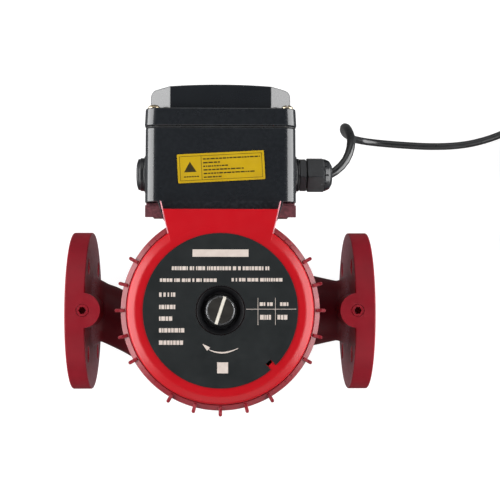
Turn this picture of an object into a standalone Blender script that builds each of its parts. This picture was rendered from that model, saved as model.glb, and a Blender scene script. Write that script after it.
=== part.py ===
"""Flanged in-line circulator pump with a wet rotor, lying on its back.

Frame: the origin is on the surface that the pump lies on, under the motor axis.
+Z is the motor axis, up to the front cover. +X is the pipe axis, towards the suction
flange. +Y points to the terminal box. Sizes are in millimetres and become metres in
the helper functions.
"""
import math

import bmesh
import bpy
from mathutils import Matrix, Vector

MM = 0.001
WELD_DISTANCE = 0.00001

# Pipe side (DN40 PN6 flanges)
PIPE_Z = 68.0
FACE_X = 125.0
RIM_X = 122.0
RIM_BACK_X = 106.0
FLANGE_R = 65.0
RAISED_R = 40.0
BOLT_CIRCLE_R = 50.0
BOLT_HOLE_R = 7.0
BORE_R = 20.0
NECK_R = 25.0
ELBOW_R = 27.0
GAUGE_X = 107.8
GAUGE_TOP_Z = 133.6
GAUGE_BOSS_R = 13.7
GAUGE_HOLE_R = 5.05
GAUGE_HOLE_Z = 122.6
GAUGE_PLUG_R = 4.75
GAUGE_SOCKET_R = 2.89

# Pump casing
BOWL_R = 70.0
CASING_TOP_R = 77.0
CASING_TOP_Z = 122.0
SEAT_R = 61.3
SEAT_Z = 113.0
CHAMBER_R = 53.0
CHAMBER_Z = 92.0
FOOT_XY = 40.0
FOOT_R = 9.0
CENTRE_FOOT_R = 16.0
COLUMN_R = 24.5
VOLUTE_Z = 102.0
VOLUTE_WALL = 5.0
VOLUTE_START_DEG = 190.0
VOLUTE_TURN_DEG = 280.0

# Rotor and can
SHAFT_R = 7.0
SHAFT_TOP_Z = 231.0
IMPELLER_R = 50.0
CAN_FLANGE_R = 60.9
CAN_OUTER_R = 32.4
CAN_INNER_R = 31.6
CAN_TOP_Z = 242.7

# Motor
HOUSING_R = 62.0
HOUSING_BORE_R = 57.2
RIM_R = 68.6
RIM_TOP_Z = 241.0
FIN_TIP_R = 72.5
FIN_TOP_Z = 240.4
FIN_THICKNESS = 2.4
FIN_ANGLES = (0, 15, -15, 30, -30, 150, 165, 180, 195, 210, 240, 255, 270, 285, 300)
SCREW_CIRCLE_R = 69.5
SCREW_ANGLES = (45, 135, 225, 315)
SCREW_HOLE_R = 4.3
SCREW_SHANK_R = 3.9
SCREW_HEAD_R = 6.5
HEX_SOCKET_R = 3.46
COVER_FRONT_Z = 253.0
COVER_HOLE_R = 17.1
PLATE_R = 52.6
NOTCH_DEG = -47.0

# Terminal box
BOX_Z = 195.85
BOX_HALF_Z = 49.85
BOX_BOTTOM_Y = 74.8
BOX_TOP_Y = 126.0
BOX_HALF_X_BOTTOM = 52.4
BOX_HALF_X_TOP = 52.2
BOX_WALL = 2.8
BOX_CORNER_R = 9.0
LID_Y = 127.6
LID_PLATE_TOP_Y = 138.7
DOME_TOP_Y = 156.3
DOME_ARCH_R = 480.0
DOME_HALF_X = 49.2
DOME_HALF_Z = 45.0
DOME_CORNER_CUT = 15.0
DOME_EDGE_R = 4.5
DOME_WALL = 2.5
LID_SCREW_X = 46.3
LID_SCREW_DZ = 42.0
WIRE_HOLE_R = 6.5
WIRE_HOLE_Z = 206.0
FLOOR_SCREWS = ((-30.0, BOX_Z), (30.0, BOX_Z), (-35.0, 225.0))
CAPACITOR_AT = (-3.0, 97.0, 177.0)
CAPACITOR_R = 17.0

# Cable entries
GLAND_Y = 99.3
GLAND_Z = 194.0
GLAND_HOLE_R = 8.4
BOSS_FACE_X = 55.5
GLAND_HEX_R = 12.7
GLAND_NUT_R = 13.4
THREAD_END_X = 40.3
GLAND_TILT_DEG = 12.0

# Mains cord, 1.5 m long
CORD_R = 3.15
GAP = 0.3
COIL_CENTRE = (295.0, 132.7)
COIL_INNER_R = 24.9
COIL_OUTER_R = 38.1
COIL_LOW_Z = 0.85
COIL_HIGH_Z = 19.8
COIL_CHAMFER = 2.0
TIE_DEG = 330.0
PLUG_FACE = (271.0, 64.0, 19.0)
PLUG_R = 18.5
PIN_R = 2.4
PIN_OFFSET_Y = 9.5
PIN_LENGTH = 18.5

# Route of the cord from the gland mouth, over its arch and down to the surface, then
# along it to the coil
CORD_ROUTE = [
    (79.2, 99.3, 194.0), (84.4, 102.4, 193.8), (88.9, 106.6, 193.1), (92.3, 111.7, 191.7),
    (94.4, 117.5, 189.3), (95.2, 123.6, 185.6), (95.1, 129.4, 180.6), (94.8, 134.2, 173.8),
    (94.7, 137.6, 165.4), (95.2, 139.7, 155.0), (96.8, 141.7, 138.0), (99.4, 143.8, 117.0),
    (102.4, 145.8, 96.0), (105.6, 147.8, 76.0), (108.9, 149.7, 58.0), (112.2, 151.2, 41.0),
    (115.2, 152.1, 28.4), (118.4, 152.5, 19.4), (123.5, 152.5, 12.2), (130.6, 152.1, 7.0),
    (138.4, 151.6, 4.2), (147.0, 150.9, 3.2), (158.0, 150.0, 3.15), (172.0, 149.1, 3.15),
    (188.0, 148.2, 3.15), (208.0, 147.8, 3.15), (226.0, 148.6, 3.15), (243.0, 152.0, 3.2),
    (258.0, 158.4, 3.5), (271.2, 166.8, 3.9),
]

# Route of the cord's last stretch, from the coil to the plug
TAIL_ROUTE = [
    (336.7, 131.0, 9.6), (337.6, 118.0, 9.6), (338.0, 104.5, 9.8), (338.0, 91.0, 10.8),
    (335.9, 80.7, 12.6), (330.1, 71.9, 15.2), (321.3, 65.9, 17.9), (312.0, 64.0, 19.0),
]

PARTS = "circulator_pump"
TOOLS = "cutters"


def clear_scene():
    """Remove every object and make the two collections."""
    for item in list(bpy.data.objects):
        bpy.data.objects.remove(item, do_unlink=True)
    for name in (PARTS, TOOLS):
        collection = bpy.data.collections.get(name)
        if collection is None:
            collection = bpy.data.collections.new(name)
            bpy.context.scene.collection.children.link(collection)


def srgb(red, green, blue):
    """Colour from 8-bit sRGB values, as a linear RGBA tuple."""
    def linear(value):
        value /= 255.0
        return value / 12.92 if value <= 0.04045 else ((value + 0.055) / 1.055) ** 2.4
    return (linear(red), linear(green), linear(blue), 1.0)


def material(name, colour, roughness, metallic=0.0):
    """Principled material made once for each name."""
    made = bpy.data.materials.get(name)
    if made is None:
        made = bpy.data.materials.new(name)
        made.use_nodes = True
        shader = made.node_tree.nodes["Principled BSDF"]
        shader.inputs["Base Color"].default_value = colour
        shader.inputs["Roughness"].default_value = roughness
        shader.inputs["Metallic"].default_value = metallic
        made.diffuse_color = colour
    return made


def cast_red():
    return material("cast_iron_red", srgb(132, 30, 42), 0.45)


def housing_red():
    return material("housing_red", srgb(146, 34, 44), 0.42)


def cover_red():
    return material("cover_red", srgb(184, 22, 36), 0.32)


def box_black():
    return material("box_black", srgb(32, 34, 38), 0.32)


def soft_black():
    return material("cord_black", srgb(26, 26, 28), 0.5)


def steel():
    return material("steel", srgb(170, 172, 176), 0.3, 1.0)


def brass():
    return material("brass", srgb(190, 160, 96), 0.35, 1.0)


def add_object(name, mesh, collection=TOOLS):
    """Object for a mesh, in the named collection."""
    item = bpy.data.objects.new(name, mesh)
    bpy.data.collections[collection].objects.link(item)
    if collection == TOOLS:
        item.hide_render = True
        item.display_type = 'WIRE'
    return item


def evaluated_mesh(item):
    """New mesh with the object's modifiers applied."""
    bpy.context.view_layer.update()
    graph = bpy.context.evaluated_depsgraph_get()
    return bpy.data.meshes.new_from_object(item.evaluated_get(graph))


def welded(mesh):
    """Weld points that meet and turn the faces outwards."""
    cage = bmesh.new()
    cage.from_mesh(mesh)
    bmesh.ops.remove_doubles(cage, verts=cage.verts, dist=0.000002)
    bmesh.ops.recalc_face_normals(cage, faces=cage.faces)
    cage.to_mesh(mesh)
    cage.free()
    return mesh


def placement(at, turn):
    """Matrix that turns a shape by three angles in degrees, then moves it."""
    angles = [math.radians(angle) for angle in turn]
    spin = Matrix.Rotation(angles[2], 4, 'Z') @ Matrix.Rotation(angles[1], 4, 'Y')
    spin = spin @ Matrix.Rotation(angles[0], 4, 'X')
    return Matrix.Translation(Vector(at) * MM) @ spin


ALONG_PLUS_X = (0, 90, 0)
ALONG_MINUS_X = (0, -90, 0)
ALONG_PLUS_Y = (-90, 0, 0)


def turned(name, profile, steps=48, at=(0, 0, 0), turn=(0, 0, 0)):
    """Solid of revolution about local Z, from a list of (radius, height)."""
    area = 0.0
    for (r0, z0), (r1, z1) in zip(profile, profile[1:] + profile[:1]):
        area += r0 * z1 - r1 * z0
    points = list(reversed(profile)) if area > 0 else list(profile)
    on_axis = any(radius < 1e-6 for radius, _ in points)
    if on_axis:
        while not (points[0][0] < 1e-6 and points[-1][0] < 1e-6):
            points = points[1:] + points[:1]
    mesh = bpy.data.meshes.new(name)
    edges = [(index, index + 1) for index in range(len(points) - 1)]
    if not on_axis:
        edges.append((len(points) - 1, 0))
    mesh.from_pydata([(radius * MM, 0, height * MM) for radius, height in points], edges, [])
    item = add_object(name + "_profile", mesh)
    screw = item.modifiers.new("turn", 'SCREW')
    screw.steps = steps
    screw.render_steps = steps
    screw.use_merge_vertices = True
    screw.merge_threshold = 0.000005
    solid = welded(evaluated_mesh(item))
    bpy.data.objects.remove(item)
    solid.transform(placement(at, turn))
    return add_object(name, solid)


def rod(name, radius, start, end, sides=24):
    """Cylinder between two points."""
    start, end = Vector(start) * MM, Vector(end) * MM
    along = end - start
    matrix = Matrix.Translation((start + end) / 2) @ along.to_track_quat('Z', 'Y').to_matrix().to_4x4()
    cage = bmesh.new()
    bmesh.ops.create_cone(cage, cap_ends=True, segments=sides, radius1=radius * MM,
                          radius2=radius * MM, depth=along.length, matrix=matrix)
    mesh = bpy.data.meshes.new(name)
    cage.to_mesh(mesh)
    cage.free()
    return add_object(name, mesh)


def block(name, low, high, turn=(0, 0, 0), at=(0, 0, 0)):
    """Box between two corners, then turned and moved."""
    low, high = Vector(low) * MM, Vector(high) * MM
    size = high - low
    cage = bmesh.new()
    bmesh.ops.create_cube(cage, size=1.0)
    bmesh.ops.scale(cage, vec=size, verts=cage.verts)
    bmesh.ops.translate(cage, vec=(low + high) / 2, verts=cage.verts)
    mesh = bpy.data.meshes.new(name)
    cage.to_mesh(mesh)
    cage.free()
    mesh.transform(placement(at, turn))
    return add_object(name, mesh)


def tapered_box(name, y_low, y_high, half_x, half_z, corner, segments=3):
    """Box along Y whose half sizes go from the first to the second value of each pair."""
    cage = bmesh.new()
    bmesh.ops.create_cube(cage, size=2.0)
    for vert in cage.verts:
        end = 1 if vert.co.y > 0 else 0
        vert.co.x *= half_x[end] * MM
        vert.co.z = (BOX_Z + vert.co.z * half_z[end]) * MM
        vert.co.y = (y_high if end else y_low) * MM
    upright = [edge for edge in cage.edges
               if abs(edge.verts[0].co.y - edge.verts[1].co.y) > (y_high - y_low) * MM / 2]
    bmesh.ops.bevel(cage, geom=upright, offset=corner * MM, segments=segments, profile=0.5,
                    affect='EDGES')
    mesh = bpy.data.meshes.new(name)
    cage.to_mesh(mesh)
    cage.free()
    return add_object(name, mesh)


def prism(name, outlines, low, high, turn=(0, 0, 0), at=(0, 0, 0)):
    """Flat outlines in local XY, as one filled curve from the low to the high height."""
    curve = bpy.data.curves.new(name, 'CURVE')
    curve.dimensions = '2D'
    curve.fill_mode = 'BOTH'
    curve.extrude = (high - low) * MM / 2
    for outline in outlines:
        spline = curve.splines.new('POLY')
        spline.points.add(len(outline) - 1)
        for point, (x, y) in zip(spline.points, outline):
            point.co = (x * MM, y * MM, 0, 1)
        spline.use_cyclic_u = True
    item = add_object(name + "_outline", curve)
    mesh = welded(evaluated_mesh(item))
    bpy.data.objects.remove(item)
    mesh.transform(placement(at, turn) @ Matrix.Translation((0, 0, (low + high) * MM / 2)))
    return add_object(name, mesh)


def tube(name, points, radii, resolution=2):
    """Round tube along points, with one radius or a radius for each point."""
    if not isinstance(radii, (list, tuple)):
        radii = [radii] * len(points)
    curve = bpy.data.curves.new(name, 'CURVE')
    curve.dimensions = '3D'
    curve.bevel_depth = MM
    curve.bevel_resolution = resolution
    curve.use_fill_caps = True
    spline = curve.splines.new('POLY')
    spline.points.add(len(points) - 1)
    for target, point, radius in zip(spline.points, points, radii):
        target.co = (point[0] * MM, point[1] * MM, point[2] * MM, 1)
        target.radius = radius
    item = add_object(name + "_path", curve)
    mesh = welded(evaluated_mesh(item))
    bpy.data.objects.remove(item)
    return add_object(name, mesh)


def smooth_route(points, spacing):
    """Evenly spaced points on a Catmull-Rom curve through the given points."""
    points = [Vector(point) for point in points]
    padded = [2 * points[0] - points[1]] + points + [2 * points[-1] - points[-2]]
    dense = []
    for a, b, c, d in zip(padded, padded[1:], padded[2:], padded[3:]):
        for step in range(20):
            t = step / 20
            dense.append(0.5 * (2 * b + (c - a) * t + (2 * a - 5 * b + 4 * c - d) * t * t
                                + (3 * b - a - 3 * c + d) * t ** 3))
    dense.append(points[-1])
    lengths = [0.0]
    for a, b in zip(dense, dense[1:]):
        lengths.append(lengths[-1] + (b - a).length)
    count = max(2, round(lengths[-1] / spacing))
    result, index = [], 0
    for number in range(count + 1):
        goal = lengths[-1] * number / count
        while index < len(lengths) - 2 and lengths[index + 1] < goal:
            index += 1
        part = (goal - lengths[index]) / (lengths[index + 1] - lengths[index])
        result.append(dense[index].lerp(dense[index + 1], part))
    return result


def combine(target, tools, operation):
    """Boolean the tools into the target one by one, and weld each result."""
    for tool in tools:
        step = target.modifiers.new(tool.name, 'BOOLEAN')
        step.operation = operation
        step.object = tool
        mesh = evaluated_mesh(target)
        target.modifiers.clear()
        cage = bmesh.new()
        cage.from_mesh(mesh)
        bmesh.ops.remove_doubles(cage, verts=cage.verts, dist=WELD_DISTANCE)
        bmesh.ops.dissolve_degenerate(cage, edges=cage.edges, dist=WELD_DISTANCE)
        cage.to_mesh(mesh)
        cage.free()
        target.data = mesh
    return target


def join(target, *tools):
    return combine(target, tools, 'UNION')


def cut(target, *tools):
    return combine(target, tools, 'DIFFERENCE')


def common(target, *tools):
    return combine(target, tools, 'INTERSECT')


def finish(item, surface):
    """Move a solid into the parts collection with its material and shading."""
    mesh = item.data
    mesh.shade_smooth()
    mesh.set_sharp_from_angle(angle=math.radians(32))
    mesh.materials.clear()
    mesh.materials.append(surface)
    bpy.data.collections[TOOLS].objects.unlink(item)
    bpy.data.collections[PARTS].objects.link(item)
    item.hide_render = False
    item.display_type = 'TEXTURED'


def ring(name, inner, outer, low, high, steps=48, at=(0, 0, 0), turn=(0, 0, 0)):
    """Plain turned ring."""
    profile = [(inner, low), (outer, low), (outer, high), (inner, high)]
    return turned(name, profile, steps, at, turn)


def around(radius, degrees, height):
    """Point on a circle about the motor axis."""
    angle = math.radians(degrees)
    return (radius * math.cos(angle), radius * math.sin(angle), height)


# ---------------------------------------------------------------- pump casing


def volute_path():
    """Centre points and passage radii of the volute, then of the throat to the discharge."""
    points, radii = [], []
    steps = 12
    for step in range(steps + 1):
        share = step / steps
        radius = 7.0 + 7.0 * share
        height = min(VOLUTE_Z, SEAT_Z - 1.5 - radius)
        degrees = VOLUTE_START_DEG - VOLUTE_TURN_DEG * share
        points.append(around(56.0 - 2.0 * share, degrees, height))
        radii.append(radius)
    throat = smooth_route([
        (8, -53.4, 97.5), (0, -54, 97.0), (-19, -50.5, 95.5), (-35, -41, 90.5), (-48, -30, 84.0),
        (-59, -21.5, 77.5), (-70, -14.8, 72.5), (-80, -9.5, 69.8), (-90, -4.5, 68.3),
        (-98, -1.4, PIPE_Z), (-105, 0, PIPE_Z)], 15.0)
    throat_radii = [13.2]
    for number in range(1, len(throat)):
        share = number / (len(throat) - 1)
        throat_radii.append(15.2 + (BORE_R - 0.6 - 15.2) * share ** 2)
    return (points, radii), ([tuple(point) for point in throat], throat_radii)


def flange_profile(neck):
    """Profile of a neck, given from the axis outwards, and the flange on its end."""
    return neck + [(NECK_R, RIM_BACK_X - 5), (NECK_R + 3.5, RIM_BACK_X), (FLANGE_R, RIM_BACK_X),
                   (FLANGE_R, RIM_X), (RAISED_R, RIM_X), (RAISED_R, FACE_X), (0, FACE_X)]


def build_casing():
    """Cast casing: bowl with volute, suction elbow, discharge neck, flanges and feet."""
    pipe = (0, 0, PIPE_Z)
    body = turned("pump_casing", [
        (0, 76), (52, 76), (65, 82), (BOWL_R, 92), (BOWL_R, 101), (CASING_TOP_R, 106.5),
        (CASING_TOP_R, CASING_TOP_Z), (0, CASING_TOP_Z)], 36)
    elbow = [(0, -ELBOW_R), (19, -19), (ELBOW_R, 0), (ELBOW_R, 40), (29, 52), (29, 79)]
    suction = turned("suction_side", flange_profile(elbow), 32, pipe, ALONG_PLUS_X)
    discharge = turned("discharge_side", flange_profile([(0, 92), (20, 92), (24, 98)]), 32, pipe,
                       ALONG_MINUS_X)
    passages = volute_path()
    walls = [tube("volute_wall", points, [radius + VOLUTE_WALL for radius in radii], 2)
             for points, radii in passages]
    column = rod("eye_column", COLUMN_R, (0, 0, 66), (0, 0, 84), 24)
    centre_foot = rod("centre_foot", CENTRE_FOOT_R, (0, 0, 0), (0, 0, 60), 24)
    feet = [rod("foot", FOOT_R, (x, y, 0), (x, y, 84), 16)
            for x in (-FOOT_XY, FOOT_XY) for y in (-FOOT_XY, FOOT_XY)]
    ribs = [block("rib", (-58, -3, low), (58, 3, low + 58), (0, 0, angle))
            for low, angle in ((24, 45), (25, -45))]
    gauge_bosses = [rod("gauge_boss", GAUGE_BOSS_R, (x, 0, PIPE_Z), (x, 0, GAUGE_TOP_Z), 24)
                    for x in (-GAUGE_X, GAUGE_X)]
    join(body, suction, discharge, *walls, column, centre_foot, *feet, *ribs, *gauge_bosses)

    chamber = turned("chamber", [
        (0, PIPE_Z), (18, PIPE_Z), (18, 89), (22, 89), (22, CHAMBER_Z), (CHAMBER_R, CHAMBER_Z),
        (CHAMBER_R, SEAT_Z), (SEAT_R, SEAT_Z), (SEAT_R, 130), (0, 130)], 36)
    suction_bore = turned("suction_bore", [
        (0, -BORE_R), (14, -14), (BORE_R, 0), (BORE_R, 130), (0, 130)],
        24, pipe, ALONG_PLUS_X)
    discharge_bore = turned("discharge_bore", [(0, 100), (BORE_R, 100), (BORE_R, 130), (0, 130)],
                            24, pipe, ALONG_MINUS_X)
    hollows = [tube("volute_passage", points, radii, 2) for points, radii in passages]
    bolt_holes = []
    for side in (-1, 1):
        for degrees in SCREW_ANGLES:
            angle = math.radians(degrees)
            y = BOLT_CIRCLE_R * math.cos(angle)
            z = PIPE_Z + BOLT_CIRCLE_R * math.sin(angle)
            bolt_holes.append(rod("bolt_hole", BOLT_HOLE_R, (side * 100, y, z),
                                  (side * 130, y, z), 12))
    screw_holes = [rod("screw_hole", SCREW_HOLE_R, around(SCREW_CIRCLE_R, degrees, 110.4),
                       around(SCREW_CIRCLE_R, degrees, 130), 12) for degrees in SCREW_ANGLES]
    gauge_holes = []
    for x in (-GAUGE_X, GAUGE_X):
        gauge_holes.append(rod("gauge_hole", GAUGE_HOLE_R, (x, 0, GAUGE_HOLE_Z), (x, 0, 140), 20))
        gauge_holes.append(rod("gauge_tapping", 2.0, (x, 0, PIPE_Z + 10), (x, 0, 125), 8))
    cut(body, chamber, *hollows, suction_bore, discharge_bore, *bolt_holes, *screw_holes,
        *gauge_holes)
    finish(body, cast_red())

    for name, x in (("gauge_plug_suction", GAUGE_X), ("gauge_plug_discharge", -GAUGE_X)):
        plug = rod(name, GAUGE_PLUG_R, (x, 0, GAUGE_HOLE_Z + 0.9), (x, 0, GAUGE_TOP_Z - GAP), 20)
        socket = rod("socket", GAUGE_SOCKET_R, (x, 0, 128.3), (x, 0, 140), 6)
        finish(cut(plug, socket), cast_red())


# ------------------------------------------------------- rotor and hydraulics


def build_rotor():
    """Shaft, rotor, impeller and thrust bearing, all centred on the motor axis."""
    shaft = turned("shaft", [(0, 90), (4.4, 90), (5, 90.6), (5, 97.8), (SHAFT_R, 97.8),
                             (SHAFT_R, SHAFT_TOP_Z - 0.6), (SHAFT_R - 0.6, SHAFT_TOP_Z),
                             (0, SHAFT_TOP_Z)], 24)
    slot = block("shaft_slot", (-10, -0.9, SHAFT_TOP_Z - 2.2), (10, 0.9, SHAFT_TOP_Z + 2))
    finish(cut(shaft, slot), steel())

    ring_profile = [(SHAFT_R + GAP, 142), (29.5, 142), (30.5, 143), (30.5, 203), (29.5, 204),
                    (SHAFT_R + GAP, 204)]
    finish(turned("rotor_core", ring_profile, 24), material("rotor_steel", srgb(120, 120, 122), 0.4, 1.0))
    finish(ring("thrust_bearing", SHAFT_R + GAP, 13, 124.6, 129, 24),
           material("carbon", srgb(52, 52, 54), 0.5))

    impeller = turned("impeller", [
        (SHAFT_R + GAP, 98.2), (12, 98.2), (15, 109.4), (IMPELLER_R, 110.2),
        (IMPELLER_R, 112), (SHAFT_R + GAP, 112)], 24)
    front_shroud = turned("front_shroud", [
        (15.5, 89.4), (18.4, 89.4), (18.4, 94), (IMPELLER_R, 94), (IMPELLER_R, 95.8), (15.5, 95.8)], 24)
    blades = [blade_outline(number * 60.0) for number in range(6)]
    join(impeller, front_shroud, prism("blades", blades, 94.8, 111.2))
    finish(impeller, material("impeller_composite", srgb(70, 72, 76), 0.5))

    nut = rod("impeller_nut", 9.2, (0, 0, 91.2), (0, 0, 97.4), 6)
    finish(cut(nut, rod("nut_bore", 5.3, (0, 0, 85), (0, 0, 100), 20)), steel())
    finish(ring("wear_ring", 18.8, 21.7, 89.3, 93.2, 24), brass())


def blade_outline(start_deg):
    """Outline of one backward-curved blade, 2 mm thick, on a logarithmic spiral."""
    inner_r, outer_r, sweep_deg, half_thickness, steps = 16.8, 49.2, 75.0, 1.0, 6
    near, far = [], []
    for step in range(steps + 1):
        share = step / steps
        radius = inner_r * (outer_r / inner_r) ** share
        offset = math.degrees(half_thickness / radius)
        degrees = start_deg + sweep_deg * share
        near.append(around(radius, degrees - offset, 0)[:2])
        far.append(around(radius, degrees + offset, 0)[:2])
    return near + far[::-1]


def build_bearings_and_can():
    """Bearing plate, bearings, rotor can, gasket and stator."""
    plate = turned("bearing_plate", [
        (12.3, 113.3), (CAN_FLANGE_R, 113.3), (CAN_FLANGE_R, 116.3), (20, 116.3), (20, 124),
        (12.3, 124)], 24)
    finish(plate, material("plate_steel", srgb(176, 178, 180), 0.3, 1.0))
    ceramic = material("bearing_ceramic", srgb(216, 210, 198), 0.35)
    finish(ring("lower_bearing", SHAFT_R + GAP, 11.9, 114, 124, 24), ceramic)
    finish(ring("upper_bearing", SHAFT_R + GAP, 12.3, 216, 226, 24), ceramic)
    can = turned("rotor_can", [
        (CAN_FLANGE_R, 116.6), (CAN_FLANGE_R, 118.1), (CAN_OUTER_R, 118.1), (CAN_OUTER_R, 214),
        (16, 214), (16, 230), (13, 230), (13, CAN_TOP_Z), (8.6, CAN_TOP_Z), (8.6, 229.2),
        (12.8, 229.2), (12.8, 213.2), (CAN_INNER_R, 213.2), (CAN_INNER_R, 116.6)], 24)
    finish(can, steel())
    finish(ring("casing_gasket", 56, 60.8, 118.4, 121.9, 36), material("gasket", srgb(40, 40, 40), 0.8))
    finish(ring("stator_core", 33, 56.6, 142, 204, 36), material("lamination", srgb(96, 98, 102), 0.5, 0.8))
    copper = material("winding_copper", srgb(176, 98, 56), 0.4, 0.9)
    for name, low, high in (("winding_lower", 124.5, 141.6), ("winding_upper", 204.4, 221)):
        profile = [(38, low), (48, low), (52, low + 5), (52, high - 5), (48, high), (38, high),
                   (35, high - 4), (35, low + 4)]
        finish(turned(name, profile, 24), copper)


# --------------------------------------------------------------------- motor


def build_housing():
    """Finned motor housing with screw pads and the saddle of the terminal box."""
    body = turned("motor_housing", [
        (CASING_TOP_R, 122.3), (CASING_TOP_R, 129), (HOUSING_R, 132.5), (HOUSING_R, 231),
        (RIM_R, 235), (RIM_R, RIM_TOP_Z), (60, RIM_TOP_Z), (60, 232), (17.5, 232), (17.5, 228),
        (HOUSING_BORE_R, 228), (HOUSING_BORE_R, 122.3)], 36)
    fins = []
    for degrees in FIN_ANGLES:
        fin = block("fin", (60.5, -FIN_THICKNESS / 2, 130.4), (FIN_TIP_R, FIN_THICKNESS / 2, FIN_TOP_Z),
                    (0, 0, degrees))
        fins.append(round_long_edges(fin, 0.9, 130, degrees))
    pads = [rod("screw_pad", 7.6, around(SCREW_CIRCLE_R, degrees, 124),
                around(SCREW_CIRCLE_R, degrees, 132), 16) for degrees in SCREW_ANGLES]
    saddle = block("saddle", (-BOX_HALF_X_BOTTOM, 64.5, 146), (BOX_HALF_X_BOTTOM, 74.5, 238))
    pedestal = block("pedestal", (-40, 40, 150), (40, 66, 236))
    cut(pedestal, rod("pedestal_arch", 59.6, (0, 0, 140), (0, 0, 250), 36))
    join(body, saddle, pedestal, *pads, *fins)
    wire_hole = rod("wire_hole", WIRE_HOLE_R, (0, 40, WIRE_HOLE_Z), (0, 80, WIRE_HOLE_Z), 16)
    screw_holes = [rod("hole", SCREW_HOLE_R, around(SCREW_CIRCLE_R, degrees, 115),
                       around(SCREW_CIRCLE_R, degrees, 140), 12) for degrees in SCREW_ANGLES]
    scallops = [rod("scallop", 5.5, around(71.6, degrees, 228), around(71.6, degrees, 250), 16)
                for degrees in SCREW_ANGLES]
    saddle_holes = [rod("saddle_hole", 2.4, (x, 66, z), (x, 80, z), 8) for x, z in FLOOR_SCREWS]
    cut(body, wire_hole, *screw_holes, *scallops, *saddle_holes)
    finish(body, housing_red())

    for number, degrees in enumerate(SCREW_ANGLES, 1):
        low, mid = around(SCREW_CIRCLE_R, degrees, 111), around(SCREW_CIRCLE_R, degrees, 136)
        screw = rod(f"motor_screw_{number}", SCREW_HEAD_R, around(SCREW_CIRCLE_R, degrees, 132.3),
                    around(SCREW_CIRCLE_R, degrees, 140), 16)
        join(screw, rod("shank", SCREW_SHANK_R, low, mid, 12))
        socket = rod("socket", HEX_SOCKET_R, mid, around(SCREW_CIRCLE_R, degrees, 145), 6)
        finish(cut(screw, socket), steel())


def round_long_edges(item, width, low_z, degrees):
    """Round the two outer upright edges of a fin."""
    cage = bmesh.new()
    cage.from_mesh(item.data)
    outward = Vector(around(1.0, degrees, 0))
    tips = [edge for edge in cage.edges
            if abs(edge.verts[0].co.z - edge.verts[1].co.z) > low_z * MM / 2
            and edge.verts[0].co.dot(outward) > (FIN_TIP_R - 1) * MM]
    bmesh.ops.bevel(cage, geom=tips, offset=width * MM, segments=1, profile=0.5, affect='EDGES')
    cage.to_mesh(item.data)
    cage.free()
    return item


def build_front():
    """Front cover with its tongue, nameplate, collar, vent plug and seal."""
    cover = turned("front_cover", [
        (0, COVER_FRONT_Z), (57.8, COVER_FRONT_Z), (62.2, 251.4), (64.5, 248), (65, 245),
        (65, 241.3), (0, 241.3)])
    tongue_outline = [(-39.5, 69.1), (-34.1, 46), (34.1, 46), (39.5, 69.1)]
    join(cover, prism("tongue", [tongue_outline], 246.2, COVER_FRONT_Z))
    hollow = turned("cover_hollow", [(0, 235), (62, 235), (62, 247), (57, 251), (0, 251)])
    centre_hole = rod("centre_hole", COVER_HOLE_R, (0, 0, 240), (0, 0, 260), 48)
    clip_hole = block("clip_hole", (47.4, -2, 248), (49.6, 2, 256), (0, 0, NOTCH_DEG))
    cut(cover, hollow, centre_hole, clip_hole)
    finish(cover, cover_red())

    plate = ring("nameplate", COVER_HOLE_R + 0.1, PLATE_R, COVER_FRONT_Z + GAP, COVER_FRONT_Z + 0.6)
    notch = block("notch", (47.4, -2.3, 250), (60, 2.3, 256), (0, 0, NOTCH_DEG))
    finish(cut(plate, notch), material("nameplate_grey", srgb(56, 54, 55), 0.5))

    collar = turned("vent_collar", [
        (11, 243), (16.7, 243), (16.7, 251.2), (15.6, 251.2), (12.2, 247.2), (11, 247.2)], 24)
    finish(collar, box_black())
    plug = turned("vent_plug", [
        (0, 234), (7.6, 234), (8.2, 234.6), (8.2, 245), (9.7, 245), (10.1, 245.4), (10.1, 250.5),
        (9.6, 251), (0, 251)], 20)
    slot = block("plug_slot", (-12, -1.1, 248.6), (12, 1.1, 255), (0, 0, 72))
    finish(cut(plug, slot), steel())
    finish(ring("vent_plug_seal", 8.6, 10, 243, 244.7, 24), material("seal_rubber", srgb(30, 30, 30), 0.7))


# -------------------------------------------------------------- terminal box


def dome_solid(name, inset, bottom_y):
    """Arched dome of the lid with its four corners cut, grown inwards by the inset."""
    arch_r, edge_r = DOME_ARCH_R - inset, DOME_EDGE_R - inset
    centre_y = DOME_TOP_Y - DOME_ARCH_R
    half_x, half_z = DOME_HALF_X - inset, DOME_HALF_Z - inset
    lean = math.asin((half_x - edge_r) / (arch_r - edge_r))
    corner = ((arch_r - edge_r) * math.sin(lean), centre_y + (arch_r - edge_r) * math.cos(lean))
    right = []
    for step in range(6):
        angle = lean * step / 5
        right.append((arch_r * math.sin(angle), centre_y + arch_r * math.cos(angle)))
    for step in range(1, 6):
        angle = lean + (math.pi / 2 - lean) * step / 5
        right.append((corner[0] + edge_r * math.sin(angle), corner[1] + edge_r * math.cos(angle)))
    right.append((half_x, bottom_y))
    left = [(-x, y) for x, y in reversed(right) if x > 0.001]
    arch = prism(name, [right + left], BOX_Z - half_z, BOX_Z + half_z)
    cut_size = DOME_CORNER_CUT - inset * (2 - math.sqrt(2))
    x, z = half_x + 1, half_z + 1
    octagon = []
    for sign_x, sign_z in ((1, 1), (-1, 1), (-1, -1), (1, -1)):
        first = (sign_x * x, sign_z * (z - cut_size - 1))
        second = (sign_x * (x - cut_size - 1), sign_z * z)
        octagon += [first, second] if sign_x * sign_z > 0 else [second, first]
    limit = prism(name + "_limit", [octagon], -180, -100, (90, 0, 0), (0, 0, BOX_Z))
    return common(arch, limit)


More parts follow.
